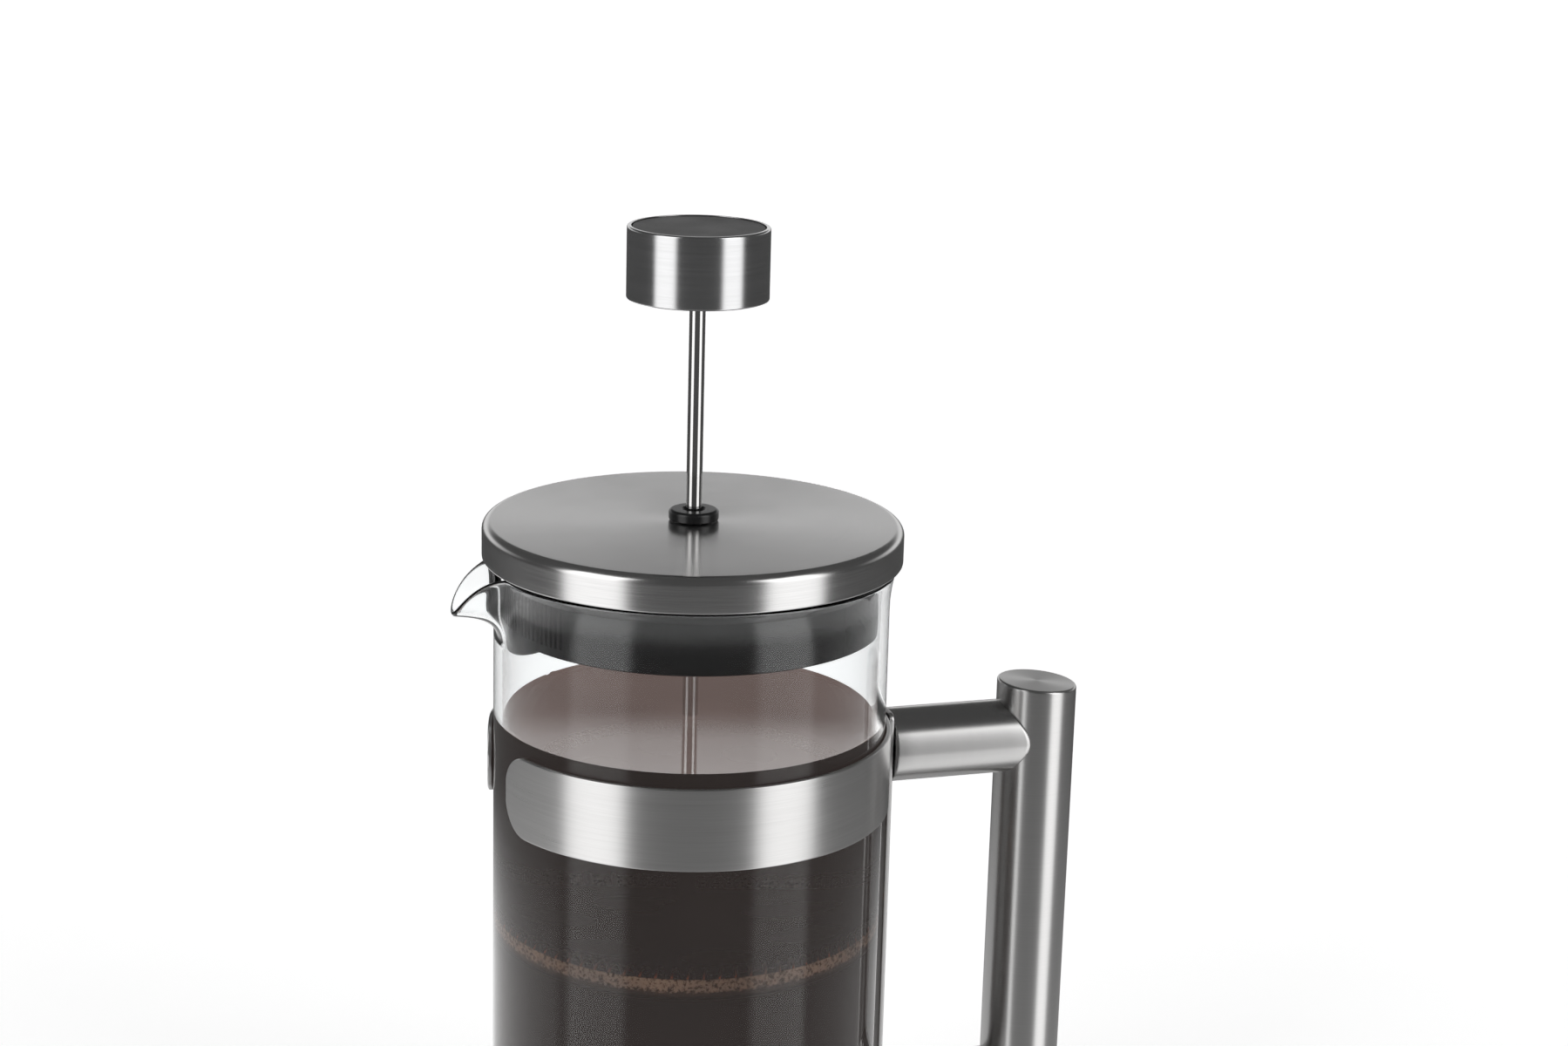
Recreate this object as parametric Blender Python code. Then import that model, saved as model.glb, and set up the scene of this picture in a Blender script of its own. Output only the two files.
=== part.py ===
"""French press: a glass beaker in a steel frame with a bar handle, a steel lid and a spring-edged plunger.

Metres, +Z up. The origin is on the surface the press stands on, on the beaker's axis.
The handle points along +X and the spout along -X.
"""

import math

import bmesh
import bpy
from mathutils import Vector

MM = 0.001
GAP = 0.3 * MM  # space left between neighbouring pieces
SIDES = 48  # facets round a large turned piece
TUBE_SIDES = 28  # facets round the handle and the knob
SMALL_SIDES = 18  # facets round bushes, screws and the rod

# Heights of the stack, from the table up.
REST_PAD_HEIGHT = 2.2 * MM
REST_PAD_RADIUS = 46.0 * MM
REST_PAD_CHAMFER = 0.6 * MM
CUP_BOTTOM = REST_PAD_HEIGHT + GAP
SHEET = 1.2 * MM  # sheet steel of the frame
CUSHION_BOTTOM = CUP_BOTTOM + SHEET + GAP
CUSHION_HEIGHT = 1.2 * MM
CUSHION_RADIUS = 40.0 * MM
BEAKER_BOTTOM = CUSHION_BOTTOM + CUSHION_HEIGHT + GAP
BEAKER_HEIGHT = 178.0 * MM
BEAKER_RIM = BEAKER_BOTTOM + BEAKER_HEIGHT
LID_BOTTOM = BEAKER_RIM + 0.5 * MM

# Glass beaker.
GLASS_RADIUS = 50.0 * MM
GLASS_WALL = 2.2 * MM
GLASS_FLOOR = 3.5 * MM
GLASS_CORNER = 8.0 * MM
RIM_FLARE = 1.7 * MM  # how far the rim opens outwards
RIM_FLARE_HEIGHT = 12.0 * MM
GLASS_LIP = GLASS_WALL / 2  # radius of the rounded rim
WALL_TOP = BEAKER_RIM - GLASS_LIP - GAP  # where the outer face meets the rounded rim
SPOUT_REACH = 9.7 * MM
SPOUT_DROOP = 10.2 * MM
SPOUT_HEIGHT = 19.0 * MM
SPOUT_HALF_ANGLE = math.radians(9.2)
DROOP_HALF_ANGLE = math.radians(7.0)
SPOUT_THINNING = 0.7 * MM  # how much thinner the wall is at the spout's lip

# Steel frame.
BAND_INNER = GLASS_RADIUS + GAP
BAND_OUTER = BAND_INNER + SHEET
BAND_HEIGHT = 21.0 * MM
BAND_TOP = LID_BOTTOM - 44.1 * MM
BAND_OPEN_HALF = math.radians(12.0)
BAND_CORNER = 9.5 * MM
CUP_INNER = GLASS_RADIUS + 0.4 * MM
CUP_RADIUS = CUP_INNER + SHEET
CUP_BEND = 3.2 * MM
CUP_TOP = 22.5 * MM
STRAP_FACE = CUP_RADIUS + GAP
STRAP_WIDTH = 14.0 * MM
STRAP_THICKNESS = 1.3 * MM
STRAP_BOTTOM = CUP_BOTTOM + 4.0 * MM
STRAP_EDGE = 0.3 * MM
ARM_RADIUS = 9.7 * MM
ARM_WALL = 1.5 * MM
ARM_START = STRAP_FACE + STRAP_THICKNESS + GAP
UPPER_ARM_Z = BAND_TOP - BAND_HEIGHT / 2
ARM_SPACING = 100.0 * MM
LOWER_ARM_Z = UPPER_ARM_Z - ARM_SPACING
BAR_X = 95.4 * MM
BAR_RADIUS = 10.5 * MM
BAR_WALL = 1.5 * MM
BAR_OVERHANG = 14.6 * MM  # bar beyond each arm's centre line
BAR_CAP = 1.6 * MM
BAR_CAP_EDGE = 0.5 * MM
BAR_SPIGOT = 6.0 * MM  # how deep each cap reaches into the bar
BAR_TOP_SLOPE = math.radians(4.0)
SCREW_RADIUS = 2.5 * MM
SCREW_HEAD_RADIUS = 4.6 * MM
PAN_HEAD_HEIGHT = 1.2 * MM
PAN_HEAD_EDGE = 0.4 * MM
SCREW_LENGTH = 16.0 * MM
PLUG_LENGTH = 14.0 * MM
PLUG_CHAMFER = 0.5 * MM

# Lid.
ROD_RADIUS = 2.0 * MM
BUSH_BORE = 2.3 * MM
BUSH_MOUTH = 1.0 * MM  # how far the bore opens at its top
BUSH_RADIUS = 3.4 * MM
BUSH_BELOW_WEB = 3.0 * MM
BUSH_FLANGE = 6.3 * MM
BUSH_FLANGE_HEIGHT = 2.6 * MM
BUSH_EDGE = 0.8 * MM
RETAINER_RADIUS = 8.0 * MM
RETAINER_HEIGHT = 2.0 * MM
LID_RADIUS = 53.0 * MM
LID_SHEET = 0.8 * MM
SKIRT_HEIGHT = 6.9 * MM
SHOULDER = 2.2 * MM
LID_CROWN = 0.2 * MM
LID_TOP = LID_BOTTOM + 9.2 * MM
GASKET_OUTER = GLASS_RADIUS + 1.2 * MM
GASKET_INNER = GLASS_RADIUS - 1.3 * MM
GASKET_EDGE = 0.2 * MM
CENTER_HOLE = BUSH_RADIUS + 0.5 * MM
INSERT_RADIUS = 47.1 * MM
INSERT_WALL = 1.6 * MM
INSERT_CORNER = 1.2 * MM
COLLAR_RADIUS = INSERT_RADIUS + 1.2 * MM
COLLAR_TOP = BEAKER_RIM - 0.6 * MM
FLARE_BOTTOM = LID_BOTTOM - 6.5 * MM
FLARE_MIDDLE = 0.35 * MM  # how far the flare has opened halfway up
INSERT_BOTTOM = LID_BOTTOM - 16.9 * MM
INSERT_TONGUE = 4.5 * MM  # extra depth of the strainer below the spout
INSERT_TONGUE_HALF = math.radians(23.0)
WEB_BOTTOM = LID_BOTTOM + 1.5 * MM
WEB_THICKNESS = 1.5 * MM
SLOT_COUNT = 34
SLOT_PITCH = math.radians(2.0)
SLOT_WIDTH = 0.8 * MM
SLOT_CUT = 6.0 * MM  # length of the cutter across the wall
SLOT_BOTTOM = INSERT_BOTTOM + 2.4 * MM
SLOT_TOP = LID_BOTTOM - 3.8 * MM

# Plunger, shown part of the way down.
KNOB_TOP = LID_BOTTOM + 83.6 * MM
KNOB_HEIGHT = 18.0 * MM
KNOB_RADIUS = 17.7 * MM
KNOB_SHEET = 1.1 * MM
KNOB_EDGE = 0.8 * MM
KNOB_INSET = 0.2 * MM  # depth of the core's face below the sleeve's rim
KNOB_FOOT = 0.6 * MM  # chamfer at the bottom of the core
ROD_THREAD_DEPTH = 5.0 * MM  # core above the rod's end
MESH_TOP = LID_BOTTOM - 94.4 * MM
MESH_HEIGHT = 6.2 * MM
MESH_RADIUS = 47.3 * MM
MESH_THICKNESS = 0.45 * MM
MESH_BEND = 3.4 * MM
SPRING_RADIUS = 43.4 * MM
SPRING_WIRE_RADIUS = 3.0 * MM
SPRING_Z = MESH_TOP - 1.2 * MM
SPREADER_RADIUS = SPRING_RADIUS - SPRING_WIRE_RADIUS - 0.4 * MM
SPREADER_HOLES = 6
SPREADER_HOLE_RADIUS = 8.0 * MM
SPREADER_HOLE_RING = 25.0 * MM
PLATE = 0.9 * MM
CROSS_RADIUS = 38.0 * MM
CROSS_HOLES = 4
CROSS_HOLE_RADIUS = 11.5 * MM
CROSS_HOLE_RING = 20.5 * MM
ROD_HOLE = ROD_RADIUS + 0.4 * MM
ROD_BELOW_NUT = 1.0 * MM
ROD_CHAMFER = 0.4 * MM
HUB_RADIUS = 5.0 * MM
HUB_HEIGHT = 6.0 * MM
HUB_CHAMFER = 0.5 * MM
NUT_RADIUS = 5.5 * MM
NUT_HEIGHT = 3.6 * MM

# name: (colour, roughness, metallic)
FINISHES = {
    "brushed_steel": ((0.56, 0.55, 0.54, 1.0), 0.32, 1.0),
    "polished_steel": ((0.68, 0.68, 0.68, 1.0), 0.12, 1.0),
    "mesh_steel": ((0.50, 0.49, 0.46, 1.0), 0.40, 1.0),
    "clear_glass": ((0.86, 0.90, 0.92, 0.35), 0.03, 0.0),
    "dark_plastic": ((0.055, 0.050, 0.052, 1.0), 0.30, 0.0),
    "black_rubber": ((0.020, 0.020, 0.021, 1.0), 0.60, 0.0),
}


def clear_scene():
    for obj in list(bpy.data.objects):
        bpy.data.objects.remove(obj)


def finish(name):
    """The material of that name, made on its first use."""
    if name in bpy.data.materials:
        return bpy.data.materials[name]
    color, roughness, metallic = FINISHES[name]
    material = bpy.data.materials.new(name)
    material.use_nodes = True
    shader = material.node_tree.nodes["Principled BSDF"]
    shader.inputs["Base Color"].default_value = color
    shader.inputs["Roughness"].default_value = roughness
    shader.inputs["Metallic"].default_value = metallic
    return material


def add_object(name, bm, material, parent=None):
    """Turns a bmesh into a smooth-shaded object with outward faces."""
    bmesh.ops.recalc_face_normals(bm, faces=bm.faces)
    mesh = bpy.data.meshes.new(name)
    bm.to_mesh(mesh)
    bm.free()
    mesh.shade_smooth()
    mesh.set_sharp_from_angle(angle=math.radians(32))
    obj = bpy.data.objects.new(name, mesh)
    bpy.context.scene.collection.objects.link(obj)
    if material:
        obj.data.materials.append(finish(material))
    if parent:
        obj.parent = parent
    return obj


def body_empty(name, parent=None):
    """An empty on the beaker's axis that carries one moving body."""
    empty = bpy.data.objects.new(name, None)
    empty.empty_display_size = 0.02
    bpy.context.scene.collection.objects.link(empty)
    empty.parent = parent
    return empty


def arc(center_r, center_z, radius, start_deg, end_deg, steps=5):
    """Points of an arc in the (r, z) half plane, both ends included."""
    points = []
    for i in range(steps + 1):
        angle = math.radians(start_deg + (end_deg - start_deg) * i / steps)
        points.append((center_r + radius * math.cos(angle), center_z + radius * math.sin(angle)))
    return points


def turned(profile, sides=SIDES):
    """Bmesh of a closed (r, z) outline turned about Z. A point with r = 0 becomes a pole."""
    bm = bmesh.new()
    verts = [bm.verts.new((r, 0.0, z)) for r, z in profile]
    edges = []
    for first, second in zip(verts, verts[1:] + verts[:1]):
        on_axis = first.co.x == 0.0 and second.co.x == 0.0
        if not on_axis:
            edges.append(bm.edges.new((first, second)))
    bmesh.ops.spin(
        bm, geom=verts + edges, cent=(0, 0, 0), axis=(0, 0, 1), angle=math.tau, steps=sides,
        use_merge=True, use_duplicate=False,
    )
    bmesh.ops.remove_doubles(bm, verts=bm.verts, dist=1e-6)
    return bm


def disc_profile(inner, outer, bottom, top, chamfer=0.0):
    """Outline of a flat ring, or of a disc where inner is 0."""
    c = chamfer
    outline = [(inner, top), (outer - c, top)]
    if c:
        outline += [(outer, top - c), (outer, bottom + c)]
    else:
        outline += [(outer, bottom)]
    if c:
        outline += [(outer - c, bottom)]
    return outline + [(inner, bottom)]


def to_x_axis(bm, height):
    """Lays a piece turned about Z along +X at that height."""
    for vert in bm.verts:
        x, y, z = vert.co
        vert.co = (z, y, height - x)
    return bm


def cylinder_cutter(name, radius, start, end, center=(0.0, 0.0), sides=TUBE_SIDES):
    """A hidden upright cylinder, used in Boolean modifiers."""
    bm = turned(disc_profile(0.0, radius, start, end), sides)
    bmesh.ops.translate(bm, vec=(center[0], center[1], 0.0), verts=bm.verts)
    cutter = add_object(name, bm, None)
    cutter.hide_render = True
    cutter.display_type = "WIRE"
    return cutter


def cut(obj, cutter):
    modifier = obj.modifiers.new("cut_" + cutter.name, "BOOLEAN")
    modifier.operation = "DIFFERENCE"
    modifier.object = cutter


def screw_profile(head, clearance=0.0):
    """Outline of a handle screw whose head is at z = 0, either countersunk or pan."""
    shank = SCREW_RADIUS + clearance
    wide = SCREW_HEAD_RADIUS + clearance
    if head == "countersunk":
        taper = SCREW_HEAD_RADIUS - SCREW_RADIUS
        top = [(0.0, -clearance), (wide, -clearance), (wide, clearance), (shank, taper + clearance)]
    else:
        top = [(0.0, 0.0), (wide - PAN_HEAD_EDGE, 0.0), (wide, PAN_HEAD_EDGE)]
        top += [(wide, PAN_HEAD_HEIGHT), (shank, PAN_HEAD_HEIGHT)]
    return top + [(shank, SCREW_LENGTH + clearance), (0.0, SCREW_LENGTH + clearance)]


# ---------------------------------------------------------------- frame


def make_base(frame):
    pad = turned(disc_profile(0.0, REST_PAD_RADIUS, 0.0, REST_PAD_HEIGHT, REST_PAD_CHAMFER))
    add_object("rest_pad", pad, "black_rubber", frame)

    bend_r, bend_z = CUP_RADIUS - CUP_BEND, CUP_BOTTOM + CUP_BEND
    profile = [(0.0, CUP_BOTTOM + SHEET)]
    profile += arc(bend_r, bend_z, CUP_BEND - SHEET, -90, 0, 3)
    profile += [(CUP_INNER, CUP_TOP), (CUP_RADIUS, CUP_TOP)]
    profile += arc(bend_r, bend_z, CUP_BEND, 0, -90, 3)
    profile += [(0.0, CUP_BOTTOM)]
    add_object("base_cup", turned(profile), "brushed_steel", frame)

    top = CUSHION_BOTTOM + CUSHION_HEIGHT
    cushion = turned(disc_profile(0.0, CUSHION_RADIUS, CUSHION_BOTTOM, top, GAP), TUBE_SIDES)
    add_object("beaker_cushion", cushion, "black_rubber", frame)


def band_edge(distance):
    """How far the band's edge is drawn in at that distance from its end."""
    if distance >= BAND_CORNER:
        return 0.0
    reach = BAND_CORNER - distance
    return BAND_CORNER - math.sqrt(BAND_CORNER**2 - reach**2)


def make_band(frame):
    """Open hoop round the beaker: full height on the handle's side, rounded ends beside the spout."""
    half = math.pi - BAND_OPEN_HALF
    corner_angle = BAND_CORNER / BAND_OUTER
    corner_steps, plain_steps = 5, 42
    angles = [corner_angle * (1 - math.cos(math.pi / 2 * i / corner_steps)) for i in range(corner_steps)]
    span = 2 * half - 2 * corner_angle
    plain = [corner_angle + span * i / plain_steps for i in range(plain_steps + 1)]
    from_end = angles + plain + [2 * half - a for a in reversed(angles)]
    bottom = BAND_TOP - BAND_HEIGHT
    bm = bmesh.new()
    rings = []
    for turn in from_end:
        draw_in = band_edge(min(turn, 2 * half - turn) * BAND_OUTER)
        angle = turn - half
        ring = []
        for radius, z in (
            (BAND_OUTER, bottom + draw_in),
            (BAND_OUTER, BAND_TOP - draw_in),
            (BAND_INNER, BAND_TOP - draw_in),
            (BAND_INNER, bottom + draw_in),
        ):
            ring.append(bm.verts.new((radius * math.cos(angle), radius * math.sin(angle), z)))
        rings.append(ring)
    for first, second in zip(rings, rings[1:]):
        for i in range(4):
            j = (i + 1) % 4
            bm.faces.new((first[i], first[j], second[j], second[i]))
    bm.faces.new(rings[0])
    bm.faces.new(rings[-1])
    band = add_object("upper_band", bm, "brushed_steel", frame)
    cut(band, bpy.data.objects["upper_screw_clearance"])


def make_strap(frame):
    """Flat upright strip that joins the band, the base cup and both handle arms."""
    bm = bmesh.new()
    bmesh.ops.create_cube(bm, size=1.0)
    height = BAND_TOP - STRAP_BOTTOM
    bmesh.ops.scale(bm, vec=(STRAP_THICKNESS, STRAP_WIDTH, height), verts=bm.verts)
    center = (STRAP_FACE + STRAP_THICKNESS / 2, 0.0, STRAP_BOTTOM + height / 2)
    bmesh.ops.translate(bm, vec=center, verts=bm.verts)
    upright = [e for e in bm.edges if abs(e.verts[0].co.z - e.verts[1].co.z) > height / 2]
    bmesh.ops.bevel(bm, geom=upright, offset=STRAP_EDGE, segments=2, affect="EDGES", profile=0.5)
    strap = add_object("handle_strap", bm, "brushed_steel", frame)
    cut(strap, bpy.data.objects["upper_screw_clearance"])
    cut(strap, bpy.data.objects["lower_screw_clearance"])


def make_handle_joint(level, height, head, head_x, frame):
    """One arm with the threaded plug in its end and the screw that holds it to the strap."""
    clearance = to_x_axis(turned(screw_profile(head, GAP), SMALL_SIDES), height)
    bmesh.ops.translate(clearance, vec=(head_x, 0, 0), verts=clearance.verts)
    cutter = add_object(level + "_screw_clearance", clearance, None, frame)
    cutter.hide_render = True
    cutter.display_type = "WIRE"

    screw = to_x_axis(turned(screw_profile(head), SMALL_SIDES), height)
    bmesh.ops.translate(screw, vec=(head_x, 0, 0), verts=screw.verts)
    add_object(level + "_handle_screw", screw, "polished_steel", frame)

    tube = turned(disc_profile(ARM_RADIUS - ARM_WALL, ARM_RADIUS, ARM_START, BAR_X), TUBE_SIDES)
    arm = add_object(level + "_handle_arm", to_x_axis(tube, height), "brushed_steel", frame)
    cut(arm, bpy.data.objects["bar_clearance"])

    plug_radius = ARM_RADIUS - ARM_WALL - GAP
    plug_end = ARM_START + PLUG_LENGTH
    plug = disc_profile(SCREW_RADIUS + GAP, plug_radius, ARM_START, plug_end, PLUG_CHAMFER)
    plug = to_x_axis(turned(plug, SMALL_SIDES), height)
    add_object(level + "_arm_plug", plug, "polished_steel", frame)


def make_handle(frame):
    bottom, top = LOWER_ARM_Z - BAR_OVERHANG, UPPER_ARM_Z + BAR_OVERHANG
    cylinder_cutter("bar_clearance", BAR_RADIUS + GAP, bottom, top, center=(BAR_X, 0.0), sides=TUBE_SIDES)
    make_handle_joint("upper", UPPER_ARM_Z, "countersunk", BAND_INNER, frame)
    make_handle_joint("lower", LOWER_ARM_Z, "pan", CUP_INNER, frame)

    slope_drop = BAR_RADIUS * math.tan(BAR_TOP_SLOPE)
    tube_top = top - slope_drop - BAR_CAP - GAP
    tube_bottom = bottom + BAR_CAP + GAP
    tube = turned(disc_profile(BAR_RADIUS - BAR_WALL, BAR_RADIUS, tube_bottom, tube_top), TUBE_SIDES)
    bmesh.ops.translate(tube, vec=(BAR_X, 0, 0), verts=tube.verts)
    add_object("handle_bar", tube, "brushed_steel", frame)

    for name, face, inside, slope in (
        ("bar_top_cap", top, tube_top + GAP, BAR_TOP_SLOPE),
        ("bar_bottom_cap", bottom, bottom + BAR_CAP, 0.0),
    ):
        outward = 1.0 if face > inside else -1.0
        spigot = BAR_RADIUS - BAR_WALL - GAP
        deep = inside - outward * BAR_SPIGOT
        profile = [(0.0, face), (BAR_RADIUS - BAR_CAP_EDGE, face)]
        profile += [(BAR_RADIUS, face - outward * BAR_CAP_EDGE)]
        profile += [(BAR_RADIUS, inside), (spigot, inside), (spigot, deep), (0.0, deep)]
        cap = turned(profile, TUBE_SIDES)
        for vert in cap.verts:
            if slope and vert.co.z > inside + GAP:
                vert.co.z -= vert.co.x * math.tan(slope)
        bmesh.ops.translate(cap, vec=(BAR_X, 0, 0), verts=cap.verts)
        add_object(name, cap, "brushed_steel", frame)


# ---------------------------------------------------------------- beaker


def spout_weight(angle, half_angle, power):
    """1 on the spout's centre line, which points along -X, falling off to both sides."""
    away = abs(math.remainder(angle - math.pi, math.tau))
    return math.exp(-((away / half_angle) ** power))


def spout_rise(z):
    """0 where the spout starts and 1 at its lip."""
    return max(0.0, 1 + (z - WALL_TOP) / SPOUT_HEIGHT)


def outer_face(angle, z):
    """Point of the beaker's outer face, which opens at the rim and is drawn out into the spout."""
    flare = max(0.0, (z - (BEAKER_RIM - RIM_FLARE_HEIGHT)) / RIM_FLARE_HEIGHT)
    radius = GLASS_RADIUS + RIM_FLARE * flare**2.2
    rise = spout_rise(z)
    radius += SPOUT_REACH * spout_weight(angle, SPOUT_HALF_ANGLE, 2.9) * rise**2.3
    z -= SPOUT_DROOP * spout_weight(angle, DROOP_HALF_ANGLE, 2.3) * rise**1.6
    return Vector((radius * math.cos(angle), radius * math.sin(angle), z))


def wall_section(angle, z):
    """(outer point, inward direction, upward direction, thickness) of the wall."""
    small_turn, small_rise = 0.002, 0.05 * MM
    around = outer_face(angle + small_turn, z) - outer_face(angle - small_turn, z)
    up = outer_face(angle, z + small_rise) - outer_face(angle, z - small_rise)
    thickness = GLASS_WALL - SPOUT_THINNING * spout_weight(angle, SPOUT_HALF_ANGLE, 2.9) * spout_rise(z)
    return outer_face(angle, z), up.cross(around).normalized(), up.normalized(), thickness


def beaker_angles():
    """Directions round the beaker, closer together at the spout."""
    plain, fine = 34, 18
    fine_half = math.radians(24.0)
    angles = [math.pi - fine_half + 2 * fine_half * i / fine for i in range(fine)]
    rest = math.tau - 2 * fine_half
    return angles + [math.pi + fine_half + rest * i / plain for i in range(plain)]


def make_beaker(body):
    corner = arc(GLASS_RADIUS - GLASS_CORNER, BEAKER_BOTTOM + GLASS_CORNER, GLASS_CORNER, -90, 0, 4)
    inner_radius = GLASS_CORNER - GLASS_WALL
    floor = BEAKER_BOTTOM + GLASS_FLOOR
    inner_corner = arc(GLASS_RADIUS - GLASS_CORNER, floor + inner_radius, inner_radius, -90, 0, 3)
    levels = [WALL_TOP - SPOUT_HEIGHT * (1 - i / 7) for i in range(8)]

    bm = bmesh.new()
    rings = []
    for angle in beaker_angles():
        heading = Vector((math.cos(angle), math.sin(angle), 0.0))
        points = [heading * r + Vector((0.0, 0.0, z)) for r, z in corner]
        walls = [wall_section(angle, z) for z in levels]
        points += [face for face, inward, up, thickness in walls]
        face, inward, up, thickness = walls[-1]
        for turn in (math.radians(50), math.radians(130)):
            across = inward * (1 - math.cos(turn)) + up * math.sin(turn)
            points.append(face + across * thickness / 2)
        points += [face + inward * thickness for face, inward, up, thickness in reversed(walls)]
        points += [heading * r + Vector((0.0, 0.0, z)) for r, z in reversed(inner_corner)]
        rings.append([bm.verts.new(point) for point in points])
    for first, second in zip(rings, rings[1:] + rings[:1]):
        for i in range(len(first) - 1):
            bm.faces.new((first[i], first[i + 1], second[i + 1], second[i]))
    bm.faces.new([ring[0] for ring in rings])
    bm.faces.new([ring[-1] for ring in rings])
    add_object("glass_beaker", bm, "clear_glass", body)


# ---------------------------------------------------------------- lid


def make_gasket(body):
    """Soft ring on the beaker's rim, which grips the lid insert."""
    top = WEB_BOTTOM - GAP
    bottom = BEAKER_RIM + GAP
    profile = disc_profile(GASKET_INNER, GASKET_OUTER, bottom, top, GASKET_EDGE)
    add_object("lid_gasket", turned(profile), "black_rubber", body)


def lid_top_height(radius):
    """Height of the lid's gently crowned top at that radius."""
    edge = LID_RADIUS - SHOULDER
    return LID_TOP - LID_CROWN * (radius / edge) ** 2


def make_lid_cap(body):
    """Steel shell: skirt, rounded shoulder and crowned top with a hole for the bush."""
    edge = LID_RADIUS - SHOULDER
    skirt_top = LID_BOTTOM + SKIRT_HEIGHT
    shoulder_rise = lid_top_height(edge) - skirt_top
    top_radii = [edge * 2 / 3, edge / 3, CENTER_HOLE]
    faces = []
    for depth in (0.0, LID_SHEET):
        face = [(LID_RADIUS - depth, LID_BOTTOM)]
        for i in range(4):
            turn = math.pi / 2 * i / 3
            r = edge + (SHOULDER - depth) * math.cos(turn)
            face.append((r, skirt_top + (shoulder_rise - depth) * math.sin(turn)))
        faces.append(face + [(r, lid_top_height(r) - depth) for r in top_radii])
    add_object("lid_cap", turned(faces[0] + faces[1][::-1]), "brushed_steel", body)


def insert_drop(angle):
    """Extra depth of the insert's lower edge below the spout."""
    away = abs(math.remainder(angle - math.pi, math.tau)) / INSERT_TONGUE_HALF
    return INSERT_TONGUE * (1.0 - away**2) if away < 1 else 0.0


def make_insert(body):
    """Plastic liner under the lid: web, flared collar and a skirt with a strainer by the spout."""
    inner = INSERT_RADIUS - INSERT_WALL
    flange = LID_RADIUS - LID_SHEET - 0.4 * MM
    web_top = WEB_BOTTOM + WEB_THICKNESS
    flare_mid_z = (FLARE_BOTTOM + COLLAR_TOP) / 2
    profile = [(inner, INSERT_BOTTOM), (inner, SLOT_TOP), (inner, WEB_BOTTOM - INSERT_CORNER)]
    profile += [(inner - INSERT_CORNER, WEB_BOTTOM), (CENTER_HOLE, WEB_BOTTOM)]
    profile += [(CENTER_HOLE, web_top), (flange, web_top), (flange, WEB_BOTTOM)]
    profile += [(COLLAR_RADIUS, WEB_BOTTOM), (COLLAR_RADIUS, COLLAR_TOP)]
    profile += [(INSERT_RADIUS + FLARE_MIDDLE, flare_mid_z), (INSERT_RADIUS, FLARE_BOTTOM)]
    profile += [(INSERT_RADIUS, INSERT_BOTTOM)]
    bm = turned(profile)
    for vert in bm.verts:
        if vert.co.z < INSERT_BOTTOM + GAP:
            vert.co.z -= insert_drop(math.atan2(vert.co.y, vert.co.x))
    insert = add_object("strainer_insert", bm, "dark_plastic", body)

    slots = bmesh.new()
    for i in range(SLOT_COUNT):
        angle = math.pi + SLOT_PITCH * (i - (SLOT_COUNT - 1) / 2)
        made = bmesh.ops.create_cube(slots, size=1.0)["verts"]
        bmesh.ops.scale(slots, vec=(SLOT_CUT, SLOT_WIDTH, SLOT_TOP - SLOT_BOTTOM), verts=made)
        bmesh.ops.translate(slots, vec=(INSERT_RADIUS, 0.0, (SLOT_TOP + SLOT_BOTTOM) / 2), verts=made)
        for vert in made:
            x, y, z = vert.co
            vert.co = (
                x * math.cos(angle) - y * math.sin(angle),
                x * math.sin(angle) + y * math.cos(angle),
                z,
            )
    cutter = add_object("strainer_slots", slots, None, body)
    cutter.hide_render = True
    cutter.display_type = "WIRE"
    cut(insert, cutter)

    top = WEB_BOTTOM - GAP
    retainer = disc_profile(CENTER_HOLE, RETAINER_RADIUS, top - RETAINER_HEIGHT, top, GAP)
    add_object("bush_retainer", turned(retainer, SMALL_SIDES), "dark_plastic", body)


def make_bush(body):
    """Flanged guide in the middle of the lid that the rod slides through."""
    seat = lid_top_height(0.0) + GAP
    top = seat + BUSH_FLANGE_HEIGHT
    bottom = WEB_BOTTOM - BUSH_BELOW_WEB
    profile = [(BUSH_BORE, top - BUSH_MOUTH), (BUSH_BORE + BUSH_MOUTH, top)]
    profile += arc(BUSH_FLANGE - BUSH_EDGE, top - BUSH_EDGE, BUSH_EDGE, 90, 0, 3)
    profile += [(BUSH_FLANGE, seat), (BUSH_RADIUS, seat), (BUSH_RADIUS, bottom), (BUSH_BORE, bottom)]
    add_object("guide_bush", turned(profile, SMALL_SIDES), "black_rubber", body)


# ---------------------------------------------------------------- plunger


def make_knob(body):
    """Steel sleeve round a moulded core, which closes the top and takes the rod's thread."""
    bottom = KNOB_TOP - KNOB_HEIGHT
    inner = KNOB_RADIUS - KNOB_SHEET
    sleeve = [(inner, bottom), (inner, KNOB_TOP)]
    sleeve += arc(KNOB_RADIUS - KNOB_EDGE, KNOB_TOP - KNOB_EDGE, KNOB_EDGE, 90, 0, 4)
    sleeve += [(KNOB_RADIUS, bottom)]
    add_object("knob_shell", turned(sleeve, TUBE_SIDES), "brushed_steel", body)

    core_radius = inner - GAP
    thread_top = KNOB_TOP - ROD_THREAD_DEPTH
    core = [(0.0, KNOB_TOP - KNOB_INSET), (core_radius, KNOB_TOP - KNOB_INSET)]
    core += [(core_radius, bottom + KNOB_FOOT), (core_radius - KNOB_FOOT, bottom)]
    core += [(ROD_HOLE, bottom), (ROD_HOLE, thread_top), (0.0, thread_top)]
    add_object("knob_core", turned(core, TUBE_SIDES), "dark_plastic", body)


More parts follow.
